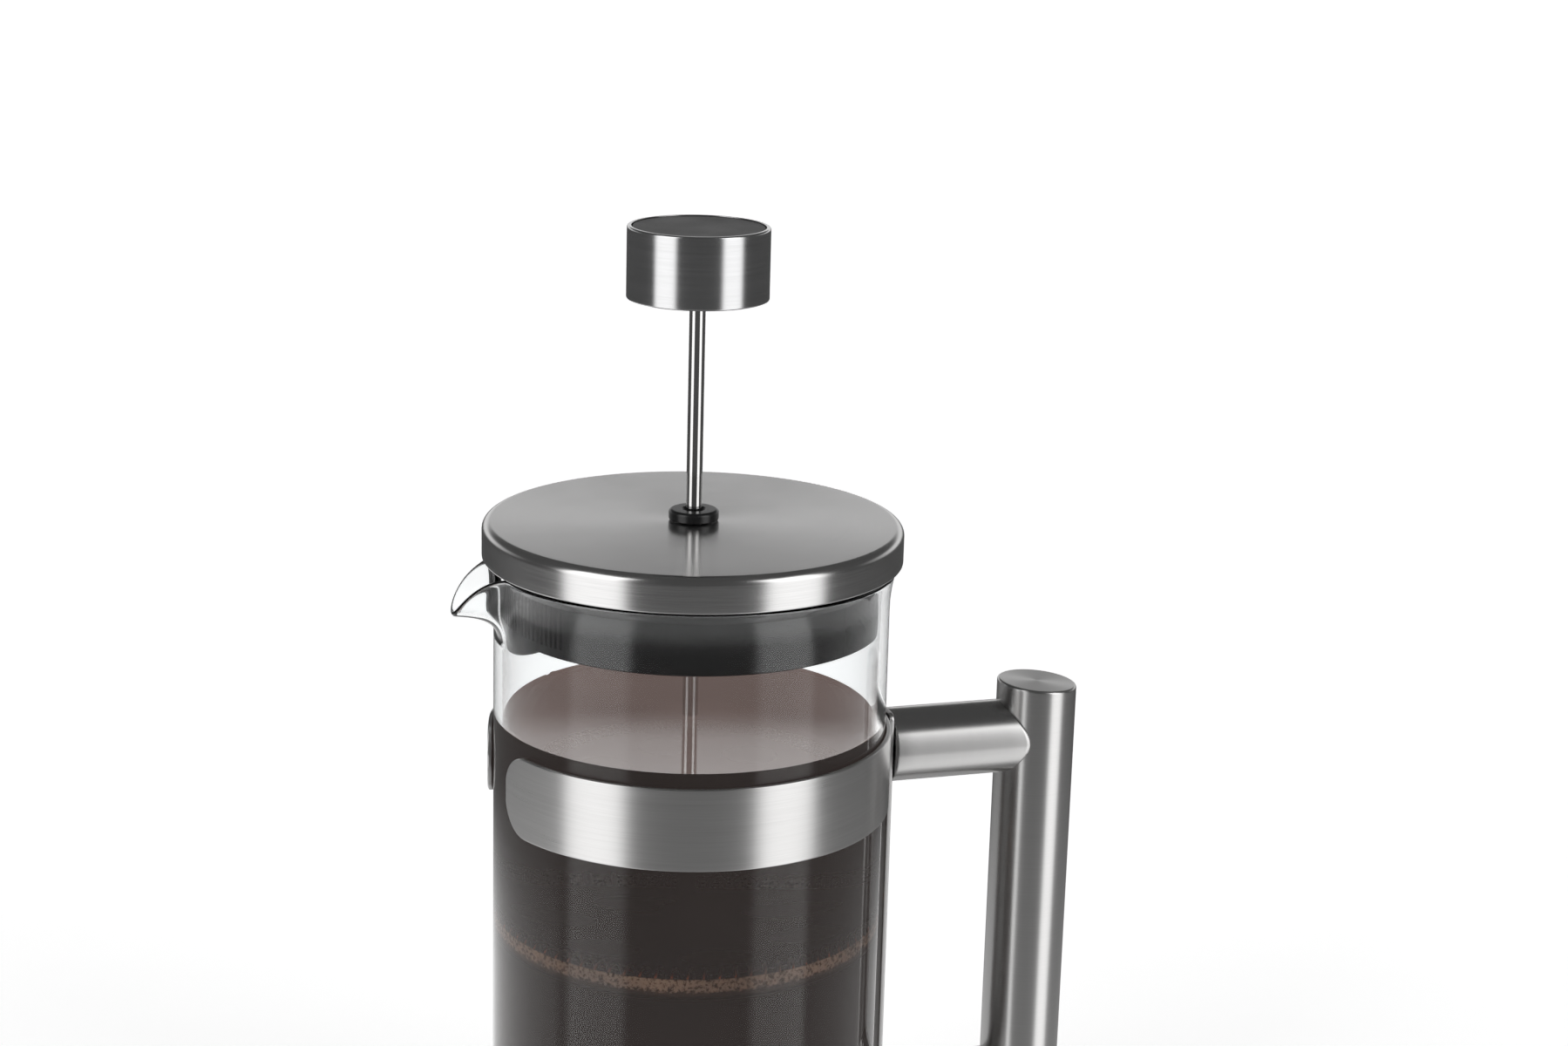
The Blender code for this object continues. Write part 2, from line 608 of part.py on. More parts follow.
def make_rod(body):
    """Rod from the knob's thread down through the filter to just below the nut."""
    top = KNOB_TOP - ROD_THREAD_DEPTH - GAP
    bottom = MESH_TOP - MESH_HEIGHT - PLATE - NUT_HEIGHT - 2 * GAP - ROD_BELOW_NUT
    rod = turned(disc_profile(0.0, ROD_RADIUS, bottom, top, ROD_CHAMFER), SMALL_SIDES)
    add_object("plunger_rod", rod, "polished_steel", body)


def drain_holes(name, count, radius, ring, bottom, top, body):
    """A hidden set of upright cylinders in a ring, for cutting holes in a plate."""
    bm = bmesh.new()
    for i in range(count):
        angle = math.tau * (i + 0.5) / count
        made = bmesh.ops.create_cone(
            bm, cap_ends=True, segments=12, radius1=radius, radius2=radius, depth=(top - bottom) * 3
        )["verts"]
        center = (ring * math.cos(angle), ring * math.sin(angle), (top + bottom) / 2)
        bmesh.ops.translate(bm, vec=center, verts=made)
    cutter = add_object(name, bm, None, body)
    cutter.hide_render = True
    cutter.display_type = "WIRE"
    return cutter


def make_filter(body):
    """Hub, spreader with its spring, screen, cross plate and nut, from the top down."""
    low, high = SPRING_Z - PLATE / 2, SPRING_Z + PLATE / 2
    hub = disc_profile(ROD_HOLE, HUB_RADIUS, high + GAP, high + GAP + HUB_HEIGHT, HUB_CHAMFER)
    add_object("filter_hub", turned(hub, SMALL_SIDES), "polished_steel", body)

    spreader = turned(disc_profile(ROD_HOLE, SPREADER_RADIUS, low, high))
    plate = add_object("spreader_plate", spreader, "polished_steel", body)
    holes = (SPREADER_HOLES, SPREADER_HOLE_RADIUS, SPREADER_HOLE_RING)
    cut(plate, drain_holes("spreader_holes", *holes, low, high, body))

    ring = arc(SPRING_RADIUS, SPRING_Z, SPRING_WIRE_RADIUS, 0, -315, 7)
    add_object("edge_spring", turned(ring), "polished_steel", body)

    floor = MESH_TOP - MESH_HEIGHT
    bend_r, bend_z = MESH_RADIUS - MESH_BEND, floor + MESH_BEND
    screen = [(ROD_HOLE, floor + MESH_THICKNESS)]
    screen += arc(bend_r, bend_z, MESH_BEND - MESH_THICKNESS, -90, 0, 2)
    screen += [(MESH_RADIUS - MESH_THICKNESS, MESH_TOP), (MESH_RADIUS, MESH_TOP)]
    screen += arc(bend_r, bend_z, MESH_BEND, 0, -90, 3)
    screen += [(ROD_HOLE, floor)]
    add_object("mesh_screen", turned(screen), "mesh_steel", body)

    high = floor - GAP
    low = high - PLATE
    cross = turned(disc_profile(ROD_HOLE, CROSS_RADIUS, low, high))
    plate = add_object("cross_plate", cross, "polished_steel", body)
    holes = (CROSS_HOLES, CROSS_HOLE_RADIUS, CROSS_HOLE_RING)
    cut(plate, drain_holes("cross_holes", *holes, low, high, body))

    top = low - GAP
    nut = turned(disc_profile(ROD_HOLE, NUT_RADIUS, top - NUT_HEIGHT, top), 6)
    add_object("filter_nut", nut, "polished_steel", body)


def main():
    clear_scene()
    frame = body_empty("frame_body")
    beaker = body_empty("beaker_body", frame)
    lid_seat = body_empty("lid_seat_body", beaker)
    lid = body_empty("lid_body", lid_seat)
    bush = body_empty("bush_body", lid)
    plunger = body_empty("plunger_body", bush)
    make_base(frame)
    make_handle(frame)
    make_band(frame)
    make_strap(frame)
    make_beaker(beaker)
    make_gasket(lid_seat)
    make_lid_cap(lid)
    make_insert(lid)
    make_bush(bush)
    make_knob(plunger)
    make_rod(plunger)
    make_filter(plunger)


main()
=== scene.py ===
"""Looks of the french press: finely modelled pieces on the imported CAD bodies, materials and a plain studio.

Everything is in metres in the row frame: +Z up, the handle along +X, the spout along -X.
"""

import math

import bmesh
import bpy
from mathutils import Matrix, Vector


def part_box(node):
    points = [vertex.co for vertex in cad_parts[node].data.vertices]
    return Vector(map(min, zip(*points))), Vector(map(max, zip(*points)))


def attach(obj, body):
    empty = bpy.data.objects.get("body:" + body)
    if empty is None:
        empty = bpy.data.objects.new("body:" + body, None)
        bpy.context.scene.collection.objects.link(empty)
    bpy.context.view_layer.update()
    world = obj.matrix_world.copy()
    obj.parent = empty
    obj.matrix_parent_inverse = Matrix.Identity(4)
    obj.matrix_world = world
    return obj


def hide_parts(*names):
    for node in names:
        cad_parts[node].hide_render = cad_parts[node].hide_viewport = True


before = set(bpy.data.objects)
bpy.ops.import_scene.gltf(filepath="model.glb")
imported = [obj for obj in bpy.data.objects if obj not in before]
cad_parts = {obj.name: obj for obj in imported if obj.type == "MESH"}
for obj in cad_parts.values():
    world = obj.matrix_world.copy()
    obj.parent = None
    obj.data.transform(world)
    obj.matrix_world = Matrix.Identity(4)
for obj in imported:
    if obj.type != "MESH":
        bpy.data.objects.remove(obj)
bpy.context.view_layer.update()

MM = 0.001
SIDES = 224  # facets round the large turned pieces
TUBE_SIDES = 96  # facets round the handle and the knob
SMALL_SIDES = 48  # facets round the rod, screws and bush


def box(node):
    """(lowest, highest) corner of a CAD node."""
    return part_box(node)


def middle_height(cad):
    low, high = box(cad)
    return (low.z + high.z) / 2


# Sizes that a node's box doesn't give.
GLASS_WALL = 2.2 * MM
GLASS_FLOOR = 3.5 * MM
GLASS_CORNER = 8.0 * MM
GLASS_RADIUS = 50.0 * MM
RIM_FLARE = 1.7 * MM
RIM_FLARE_HEIGHT = 12.0 * MM
GLASS_LIP = GLASS_WALL / 2
SPOUT_REACH = 9.7 * MM
SPOUT_DROOP = 10.2 * MM
SPOUT_HEIGHT = 19.0 * MM
SPOUT_HALF_ANGLE = math.radians(9.2)
DROOP_HALF_ANGLE = math.radians(7.0)
SPOUT_SIDES = 2.9  # how suddenly the spout's sides fall off to the round wall
SPOUT_CURVE = 2.3  # how strongly the spout bends outwards as it rises
DROOP_SIDES = 2.3
DROOP_CURVE = 1.6
RIM_CURVE = 2.2
SPOUT_THINNING = 0.7 * MM
BEAKER_BOTTOM = box("glass_beaker")[0].z
BEAKER_RIM = BEAKER_BOTTOM + 178.0 * MM
CLEARANCE = 0.3 * MM
WALL_TOP = BEAKER_RIM - GLASS_LIP - CLEARANCE
RIM_SHINE = (BEAKER_RIM - 9.0 * MM, BEAKER_RIM - 5.0 * MM)  # the glass grows brighter between these

SHEET = 1.2 * MM
CUP_BEND = 3.2 * MM
BAND_OPEN_HALF = math.radians(12.0)
BAND_CORNER = 9.5 * MM
BAR_RADIUS = (box("handle_bar")[1].x - box("handle_bar")[0].x) / 2
BAR_X = (box("handle_bar")[1].x + box("handle_bar")[0].x) / 2
BAR_TOP_SLOPE = math.radians(4.0)
BAR_BOTTOM = box("bar_bottom_cap")[0].z
BAR_TOP = box("bar_top_cap")[1].z - BAR_RADIUS * math.tan(BAR_TOP_SLOPE)
COPE_DEPTH = 0.88  # how far the arm's sides reach round the bar, 1 being all the way
END_ROUNDING = 0.8 * MM
WELD_SINK = 0.05 * MM
ARM_EDGE = 0.5 * MM
PAN_HEAD_HEIGHT = 1.2 * MM
SCREW_RADIUS = 2.5 * MM
SCREW_RIM = 0.4 * MM
SOCKET_RADIUS = 1.5 * MM
SOCKET_DEPTH = 1.8 * MM

LID_BOTTOM = box("lid_cap")[0].z
LID_TOP = LID_BOTTOM + 9.2 * MM
LID_RADIUS = box("lid_cap")[1].y
LID_SHEET = 0.8 * MM
SKIRT_HEIGHT = 6.9 * MM
SHOULDER = 2.2 * MM
LID_CROWN = 0.2 * MM
CENTER_HOLE = 3.9 * MM
INSERT_RADIUS = 47.1 * MM
INSERT_WALL = 1.6 * MM
INSERT_FLARE = 1.2 * MM
INSERT_FLARE_CURVE = 1.8
INSERT_FLARE_BOTTOM = LID_BOTTOM - 6.5 * MM
INSERT_TONGUE = 4.5 * MM
INSERT_TONGUE_HALF = math.radians(23.0)
INSERT_BOTTOM = box("strainer_insert")[0].z + INSERT_TONGUE
WEB_TOP = box("strainer_insert")[1].z
WEB_THICKNESS = 1.5 * MM
SLOT_COUNT = 34
SLOT_PITCH = math.radians(2.0)
SLOT_WIDTH = 0.8 * MM
SLOT_BOTTOM = INSERT_BOTTOM + 2.4 * MM
SLOT_TOP = LID_BOTTOM - 3.8 * MM
BUSH_BORE = 2.3 * MM
BUSH_NECK = 3.4 * MM
BUSH_SEAT = LID_TOP + CLEARANCE
GASKET_BORE = 48.7 * MM

KNOB_SLEEVE = 1.1 * MM
KNOB_HOLLOW_DEPTH = 2.0 * MM  # of the ring-shaped hollow in the knob's underside
KNOB_TOP_WEB = 4.8 * MM
MESH_RADIUS = 47.0 * MM
MESH_THICKNESS = 0.45 * MM
MESH_BEND = 3.4 * MM
SPRING_RING = 43.4 * MM
SPRING_COIL = 3.0 * MM
SPRING_WIRE = 0.36 * MM
SPRING_TURNS = 75
ROD_HOLE = 2.4 * MM
COFFEE_LEVEL = LID_BOTTOM - 41.9 * MM
COFFEE_SINK = 0.15 * MM  # how far the coffee reaches into the glass, so that no air shows between them

CAMERA_TURN = math.radians(16.08)  # the handle is turned this far away from square to the camera
CAMERA_LENS = 68.03  # focal length in millimetres
CAMERA_PLACE = Vector((0.0, -0.7196, 0.3836))  # before that turn, as the angles below are
CAMERA_YAW = math.radians(1.8084)
CAMERA_PITCH = math.radians(14.8475)
CAMERA_ROLL = math.radians(1.5528)


# ------------------------------------------------------------ mesh helpers


def rounded(outline, steps=5):
    """The closed outline of (r, z) or (r, z, radius) corners, with those that give a radius rounded."""
    points = []
    for i, corner in enumerate(outline):
        here = Vector(corner[:2])
        if len(corner) < 3 or not corner[2]:
            points.append(tuple(here))
            continue
        before = Vector(outline[i - 1][:2]) - here
        after = Vector(outline[(i + 1) % len(outline)][:2]) - here
        half = before.angle(after) / 2
        reach = min(corner[2] / math.tan(half), 0.49 * before.length, 0.49 * after.length)
        radius = reach * math.tan(half)
        center = here + (before.normalized() + after.normalized()).normalized() * (radius / math.sin(half))
        start = here + before.normalized() * reach - center
        end = here + after.normalized() * reach - center
        first = math.atan2(start.y, start.x)
        turn = math.remainder(math.atan2(end.y, end.x) - first, math.tau)
        for k in range(steps + 1):
            angle = first + turn * k / steps
            points.append((center.x + radius * math.cos(angle), center.y + radius * math.sin(angle)))
    return points


def arc(center_r, center_z, radius, start_deg, end_deg, steps=10):
    """Points of an arc in the (r, z) half plane, both ends included."""
    points = []
    for i in range(steps + 1):
        angle = math.radians(start_deg + (end_deg - start_deg) * i / steps)
        points.append((center_r + radius * math.cos(angle), center_z + radius * math.sin(angle)))
    return points


def skin(bm, rings, closed_section=True, closed_round=False):
    """Faces between neighbouring rings of vertices. A ring of one vertex is a pole."""
    pairs = list(zip(rings, rings[1:]))
    if closed_round:
        pairs.append((rings[-1], rings[0]))
    for first, second in pairs:
        count = max(len(first), len(second))
        last = count if closed_section else count - 1
        for i in range(last):
            j = (i + 1) % count
            corners = [first[i % len(first)], first[j % len(first)]]
            corners += [second[j % len(second)], second[i % len(second)]]
            face = list(dict.fromkeys(corners))
            if len(face) > 2:
                bm.faces.new(face)


def lathe(outline, sides=SIDES):
    """Bmesh of a closed (r, z) outline turned about Z."""
    bm = bmesh.new()
    rings = []
    for r, z in outline:
        if r < 1e-9:
            rings.append([bm.verts.new((0.0, 0.0, z))])
        else:
            angles = [math.tau * i / sides for i in range(sides)]
            rings.append([bm.verts.new((r * math.cos(a), r * math.sin(a), z)) for a in angles])
    skin(bm, rings, closed_round=not (outline[0][0] < 1e-9 and outline[-1][0] < 1e-9))
    return bm


def along_x(bm, height, start=0.0):
    """Lays a piece turned about Z along +X at that height."""
    for vert in bm.verts:
        x, y, z = vert.co
        vert.co = (z + start, y, height - x)
    return bm


def plate(outline, holes, thickness, edge):
    """Bmesh of a flat plate in the XY plane, with holes and rounded edges, centred on z = 0."""
    curve = bpy.data.curves.new("plate", "CURVE")
    curve.dimensions = "2D"
    curve.fill_mode = "BOTH"
    curve.extrude = thickness / 2 - edge
    curve.bevel_depth = edge
    curve.bevel_resolution = 3
    curve.offset = -edge
    for loop in [outline] + holes:
        spline = curve.splines.new("POLY")
        spline.points.add(len(loop) - 1)
        for point, (x, y) in zip(spline.points, loop):
            point.co = (x, y, 0.0, 1.0)
        spline.use_cyclic_u = True
    holder = bpy.data.objects.new("plate", curve)
    bpy.context.scene.collection.objects.link(holder)
    bpy.context.view_layer.update()
    mesh = bpy.data.meshes.new_from_object(holder.evaluated_get(bpy.context.evaluated_depsgraph_get()))
    bm = bmesh.new()
    bm.from_mesh(mesh)
    bmesh.ops.remove_doubles(bm, verts=bm.verts, dist=1e-6)
    bpy.data.objects.remove(holder)
    bpy.data.meshes.remove(mesh)
    return bm


def circle(radius, center=(0.0, 0.0), count=64):
    turns = [math.tau * i / count for i in range(count)]
    return [(center[0] + radius * math.cos(t), center[1] + radius * math.sin(t)) for t in turns]


def new_object(name, bm, material, sharp=None):
    """A linked object. A closed one gives sharp, the angle in degrees from which its edges stay sharp."""
    if sharp:
        bmesh.ops.recalc_face_normals(bm, faces=bm.faces)
    mesh = bpy.data.meshes.new(name)
    bm.to_mesh(mesh)
    bm.free()
    if sharp:
        mesh.shade_smooth()
        mesh.set_sharp_from_angle(angle=math.radians(sharp))
    mesh.materials.append(material)
    obj = bpy.data.objects.new(name, mesh)
    bpy.context.scene.collection.objects.link(obj)
    return obj


def add_piece(name, bm, material, body, nodes, sharp=38):
    """A smooth-shaded piece that rides on a body and stands for CAD nodes."""
    obj = new_object(name, bm, material, sharp)
    weighted = obj.modifiers.new("face_weighted_normals", "WEIGHTED_NORMAL")
    weighted.keep_sharp = True
    weighted.weight = 80
    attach(obj, body)
    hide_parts(*nodes)
    return obj


# ------------------------------------------------------------ materials


def new_material(name, **settings):
    """(material, node tree, Principled shader), with constant values set on the shader's own sockets."""
    material = bpy.data.materials.new(name)
    material.use_nodes = True
    tree = material.node_tree
    shader = tree.nodes["Principled BSDF"]
    for key, value in settings.items():
        shader.inputs[key.replace("_", " ")].default_value = value
    return material, tree, shader


def node(tree, kind, inputs=None, **settings):
    """A new node whose inputs take values or other nodes' outputs."""
    made = tree.nodes.new("ShaderNode" + kind)
    for key, value in settings.items():
        setattr(made, key, value)
    for key, value in (inputs or {}).items():
        if isinstance(value, bpy.types.NodeSocket):
            tree.links.new(value, made.inputs[key])
        else:
            made.inputs[key].default_value = value
    return made


def math_node(tree, operation, first, second=0.0):
    return node(tree, "Math", {0: first, 1: second}, operation=operation).outputs[0]


def product(tree, *factors):
    result = factors[0]
    for factor in factors[1:]:
        result = math_node(tree, "MULTIPLY", result, factor)
    return result


def blend(tree, first, second, share=0.5):
    """The weighted mean of two values, with that share of the second."""
    return math_node(tree, "ADD", product(tree, first, 1.0 - share), product(tree, second, share))


def radial_distance(tree, first, second):
    """How far a point with those two coordinates is from the axis."""
    squares = [math_node(tree, "POWER", value, 2.0) for value in (first, second)]
    return math_node(tree, "SQRT", math_node(tree, "ADD", *squares))


def grey(tree, value):
    return node(tree, "CombineColor", {0: value, 1: value, 2: value}).outputs["Color"]


def scaled(tone, factor):
    return tuple(part * factor for part in tone)


def seen_from_outside(tree):
    """1 on the side of the surface that faces out of the piece, 0 on its inside."""
    return math_node(tree, "SUBTRACT", 1.0, node(tree, "NewGeometry").outputs["Backfacing"])


def set_surface(tree, kind, inputs):
    """Ends the material's surface with a shader of that kind."""
    made = node(tree, kind, inputs)
    tree.links.new(made.outputs["Shader"], tree.nodes["Material Output"].inputs["Surface"])


def tones(tree, factor, dark, light):
    """A colour between two tones by the factor."""
    ramp = node(tree, "ValToRGB", {"Fac": factor})
    ramp.color_ramp.elements[0].position = 0.3
    ramp.color_ramp.elements[1].position = 0.7
    ramp.color_ramp.elements[0].color = (*dark, 1.0)
    ramp.color_ramp.elements[1].color = (*light, 1.0)
    return ramp.outputs["Color"]


def remap(tree, value, low, high, from_low=0.3, from_high=0.7):
    inputs = {"Value": value, "From Min": from_low, "From Max": from_high, "To Min": low, "To Max": high}
    return node(tree, "MapRange", inputs).outputs["Result"]


def noise(tree, vector, scale, detail=2.0, roughness=0.5):
    inputs = {"Vector": vector, "Scale": scale, "Detail": detail, "Roughness": roughness}
    return node(tree, "TexNoise", inputs).outputs["Fac"]


def bump(tree, shader, height, depth):
    made = node(tree, "Bump", {"Height": height, "Distance": depth})
    tree.links.new(made.outputs["Normal"], shader.inputs["Normal"])


def grain_vector(tree, axis, center, fast, slow):
    """Coordinates that change fast across the brushing and slowly along it, and the plain object coordinates.

    axis is the axis that the grain runs round, or "flat" for grain that runs along Z on a flat strip.
    """
    place = node(tree, "TexCoord").outputs["Object"]
    moved = node(tree, "VectorMath", {0: place, 1: center}, operation="SUBTRACT").outputs["Vector"]
    parts = node(tree, "SeparateXYZ", {0: moved}).outputs
    if axis == "flat":
        across = math_node(tree, "ADD", parts["Y"], parts["X"])
        first, second = parts["Z"], parts["X"]
    else:
        along, one, two = ("Z", "X", "Y") if axis == "Z" else ("X", "Y", "Z")
        across = math_node(tree, "SUBTRACT", parts[along], radial_distance(tree, parts[one], parts[two]))
        first, second = parts[one], parts[two]
    rates = {"X": (first, slow), "Y": (second, slow), "Z": (across, fast)}
    stretched = {key: product(tree, value, rate) for key, (value, rate) in rates.items()}
    return node(tree, "CombineXYZ", stretched).outputs["Vector"], place


def brushed(
    name,
    tone,
    roughness,
    anisotropic,
    axis="Z",
    center=(0.0, 0.0, 0.0),
    depth=0.9e-5,
    coarse_share=0.4,
    contrast=1.0,
):
    """Brushed stainless steel: scratches round the axis, faint tone changes and handling marks."""
    settings = {"Metallic": 1.0, "Anisotropic": anisotropic, "Anisotropic_Rotation": 0.25}
    material, tree, shader = new_material(name, **settings)
    fine, place = grain_vector(tree, axis, center, 5200.0, 60.0)
    coarse, _ = grain_vector(tree, axis, center, 1300.0, 26.0)
    fine_noise = noise(tree, fine, 1.0, 3.0, 0.6)
    coarse_noise = noise(tree, coarse, 1.0, 2.0)
    scratches = blend(tree, fine_noise, coarse_noise, coarse_share)
    dark, light = scaled(tone, 1.0 - 0.07 * contrast), scaled(tone, 1.0 + 0.06 * contrast)
    tree.links.new(tones(tree, scratches, dark, light), shader.inputs["Base Color"])
    marks = noise(tree, place, 55.0, 3.0)
    varied = blend(tree, scratches, marks, 0.4)
    spread = 0.035 * contrast
    tree.links.new(remap(tree, varied, roughness - spread, roughness + spread), shader.inputs["Roughness"])
    bump(tree, shader, scratches, depth)
    if axis != "flat":
        tangent = node(tree, "Tangent", direction_type="RADIAL", axis=axis)
        tree.links.new(tangent.outputs["Tangent"], shader.inputs["Tangent"])
    return material


def polished(name, tone, roughness):
    """Polished steel with hairline marks and faint smudges."""
    material, tree, shader = new_material(name, Metallic=1.0)
    place = node(tree, "TexCoord").outputs["Object"]
    smudge = noise(tree, place, 140.0, 3.0)
    stretched = node(tree, "VectorMath", {0: place, 1: (400.0, 400.0, 6000.0)}, operation="MULTIPLY")
    hair = noise(tree, stretched.outputs["Vector"], 1.0)
    tree.links.new(tones(tree, smudge, scaled(tone, 0.95), tone), shader.inputs["Base Color"])
    wear = blend(tree, smudge, hair)
    tree.links.new(remap(tree, wear, roughness * 0.7, roughness * 1.5), shader.inputs["Roughness"])
    bump(tree, shader, hair, 0.15e-5)
    return material


def woven(name, tone, pitch):
    """Fine wire cloth: wires over and under each other, with painted shade between them. Its colour grows
    darker towards its bottom, with a painted highlight along its lowest fold.
    """
    material, tree, shader = new_material(name, Metallic=1.0)
    place = node(tree, "TexCoord").outputs["Object"]
    parts = node(tree, "SeparateXYZ", {0: place}).outputs
    turn = math_node(tree, "ARCTAN2", parts["Y"], parts["X"])
    out = math_node(tree, "SUBTRACT", parts["Z"], radial_distance(tree, parts["X"], parts["Y"]))
    per_turn = round(math.tau * MESH_RADIUS / pitch)
    around = math_node(tree, "SINE", product(tree, turn, float(per_turn)))
    across = math_node(tree, "SINE", product(tree, out, math.tau / pitch))
    weave = product(tree, around, across)
    ridges = math_node(tree, "MAXIMUM", *(math_node(tree, "ABSOLUTE", wave) for wave in (around, across)))
    height = math_node(tree, "ADD", product(tree, weave, 0.4), ridges)
    low = box("mesh_screen")[0].z
    # the cloth's colour grows darker towards its bottom
    bottom_fade = remap(tree, parts["Z"], 0.10, 1.0, low + 2.0 * MM, low + 3.6 * MM)
    # painted highlight: a brighter line along the cloth's lowest fold
    painted_fold_highlight = remap(tree, parts["Z"], 0.7, 0.0, low + 0.2 * MM, low + 0.7 * MM)
    patches = remap(tree, noise(tree, place, 1100.0, 3.0, 0.7), 0.25, 1.0, 0.38, 0.60)
    # painted shade: the colour darkens between the wires
    wires = remap(tree, ridges, 0.0, 1.0, 0.45, 0.8)
    shade = product(tree, wires, patches, math_node(tree, "MAXIMUM", bottom_fade, painted_fold_highlight))
    tree.links.new(tones(tree, shade, scaled(tone, 0.12), tone), shader.inputs["Base Color"])
    tree.links.new(remap(tree, ridges, 0.55, 0.28), shader.inputs["Roughness"])
    bump(tree, shader, height, 0.06 * MM)
    return material


def moulded(name, dark, light, roughness, grain, depth):
    """Moulded plastic or rubber with a fine texture."""
    material, tree, shader = new_material(name)
    place = node(tree, "TexCoord").outputs["Object"]
    fine = noise(tree, place, grain, 3.0, 0.6)
    broad = noise(tree, place, grain / 40.0, 2.0)
    tree.links.new(tones(tree, broad, dark, light), shader.inputs["Base Color"])
    wear = blend(tree, fine, broad)
    tree.links.new(remap(tree, wear, roughness * 0.85, roughness * 1.15), shader.inputs["Roughness"])
    bump(tree, shader, fine, depth)
    return material


def clear_glass(name):
    """Blown borosilicate glass: nearly colourless, with very faint changes of tone and a brighter rim.

    Below the rim a faint glossy layer mirrors the studio in place of most of the clear glass's reflection.
    """
    material, tree, shader = new_material(name, Transmission_Weight=1.0, IOR=1.47, Roughness=0.0)
    place = node(tree, "TexCoord").outputs["Object"]
    wave = noise(tree, place, 38.0, 1.0)
    tree.links.new(tones(tree, wave, (0.965, 0.98, 0.985), (0.98, 0.99, 0.993)), shader.inputs["Base Color"])
    height = node(tree, "SeparateXYZ", {0: place}).outputs["Z"]
    shine = remap(tree, height, 0.05, 1.0, *RIM_SHINE)
    tree.links.new(grey(tree, shine), shader.inputs["Specular Tint"])
    wall = math_node(tree, "SUBTRACT", 1.0, shine)
    mirrored = product(tree, node(tree, "Fresnel", {"IOR": 1.47}).outputs["Fac"], 0.55)
    tint = grey(tree, product(tree, seen_from_outside(tree), wall, mirrored))
    gleam = node(tree, "BsdfAnisotropic", {"Color": tint, "Roughness": 0.10})
    set_surface(tree, "AddShader", {0: shader.outputs["BSDF"], 1: gleam.outputs["BSDF"]})
    return material


STEEL = (0.60, 0.595, 0.59)
GLASS = clear_glass("clear_glass_look")
BAND_STEEL = brushed("brushed_steel_hoops", STEEL, 0.30, 0.75)
LID_STEEL = brushed("satin_steel_lid", (0.62, 0.615, 0.612), 0.22, 0.6, depth=0.5e-5, coarse_share=0.25)
KNOB_STEEL = brushed("satin_steel_knob", (0.60, 0.60, 0.605), 0.20, 0.5)
BAR_STEEL = brushed(
    "brushed_steel_bar",
    STEEL,
    0.30,
    0.6,
    center=(BAR_X, 0.0, 0.0),
    depth=0.25e-5,
    coarse_share=0.2,
    contrast=0.5,
)
ARM_STEEL = {
    level: brushed(
        "brushed_steel_" + level + "_arm",
        STEEL,
        0.26,
        0.6,
        axis="X",
        center=(0.0, 0.0, middle_height(level + "_handle_arm")),
        depth=0.1e-5,
        coarse_share=0.15,
        contrast=0.35,
    )
    for level in ("upper", "lower")
}
STRAP_STEEL = brushed("brushed_steel_strap", STEEL, 0.30, 0.0, axis="flat")
ROD_STEEL = polished("polished_steel_rod", (0.74, 0.735, 0.73), 0.08)
FILTER_STEEL = polished("polished_steel_filter", (0.68, 0.675, 0.66), 0.14)
SPRING_STEEL = polished("bright_spring_steel", (0.80, 0.79, 0.77), 0.34)
MESH_STEEL = woven("woven_wire", (0.60, 0.59, 0.56), 0.32 * MM)
WARM_BLACKS = (0.026, 0.0245, 0.0245), (0.034, 0.032, 0.032)
DARK_PLASTIC = moulded("dark_grey_plastic", *WARM_BLACKS, 0.16, 220.0, 0.05e-5)
BLACK_PLASTIC = moulded("black_plastic", (0.012, 0.012, 0.0125), (0.018, 0.018, 0.0185), 0.3, 2600.0, 0.4e-5)
KNOB_BLACKS = (0.016, 0.016, 0.0165), (0.022, 0.022, 0.0225)
KNOB_PLASTIC = moulded("black_knob_plastic", *KNOB_BLACKS, 0.42, 3200.0, 0.8e-5)
RUBBER = moulded("black_rubber_look", (0.014, 0.014, 0.0145), (0.022, 0.022, 0.0225), 0.65, 2400.0, 1.2e-5)


# ------------------------------------------------------------ frame


def make_base():
    low, high = box("rest_pad")
    radius, top = high.x, high.z
    outline = [(0.0, top), (radius, top, 0.6 * MM), (radius, 0.0, 0.5 * MM)]
    groove = 0.5 * MM
    for ring in (40.0, 34.0, 28.0):
        outer, inner = ring * MM, (ring - 2.0) * MM
        outline += [(outer, 0.0, 0.2 * MM), (outer, groove), (inner, groove), (inner, 0.0, 0.2 * MM)]
    outline.append((0.0, 0.0))
    add_piece("base_pad", lathe(rounded(outline, 3)), RUBBER, "frame", ["rest_pad"])

    low, high = box("base_cup")
    outer, inner = high.y, high.y - SHEET
    outline = [(0.0, low.z + SHEET), (inner, low.z + SHEET, CUP_BEND - SHEET), (inner, high.z, 0.35 * MM)]
    outline += [(outer, high.z, 0.6 * MM), (outer, low.z, CUP_BEND), (0.0, low.z)]
    add_piece("beaker_cup", lathe(rounded(outline, 8)), BAND_STEEL, "frame", ["base_cup"])

    low, high = box("beaker_cushion")
    outline = [(0.0, high.z), (high.x, high.z, 0.4 * MM), (high.x, low.z, 0.4 * MM), (0.0, low.z)]
    add_piece("beaker_pad", lathe(rounded(outline, 3)), RUBBER, "frame", ["beaker_cushion"])


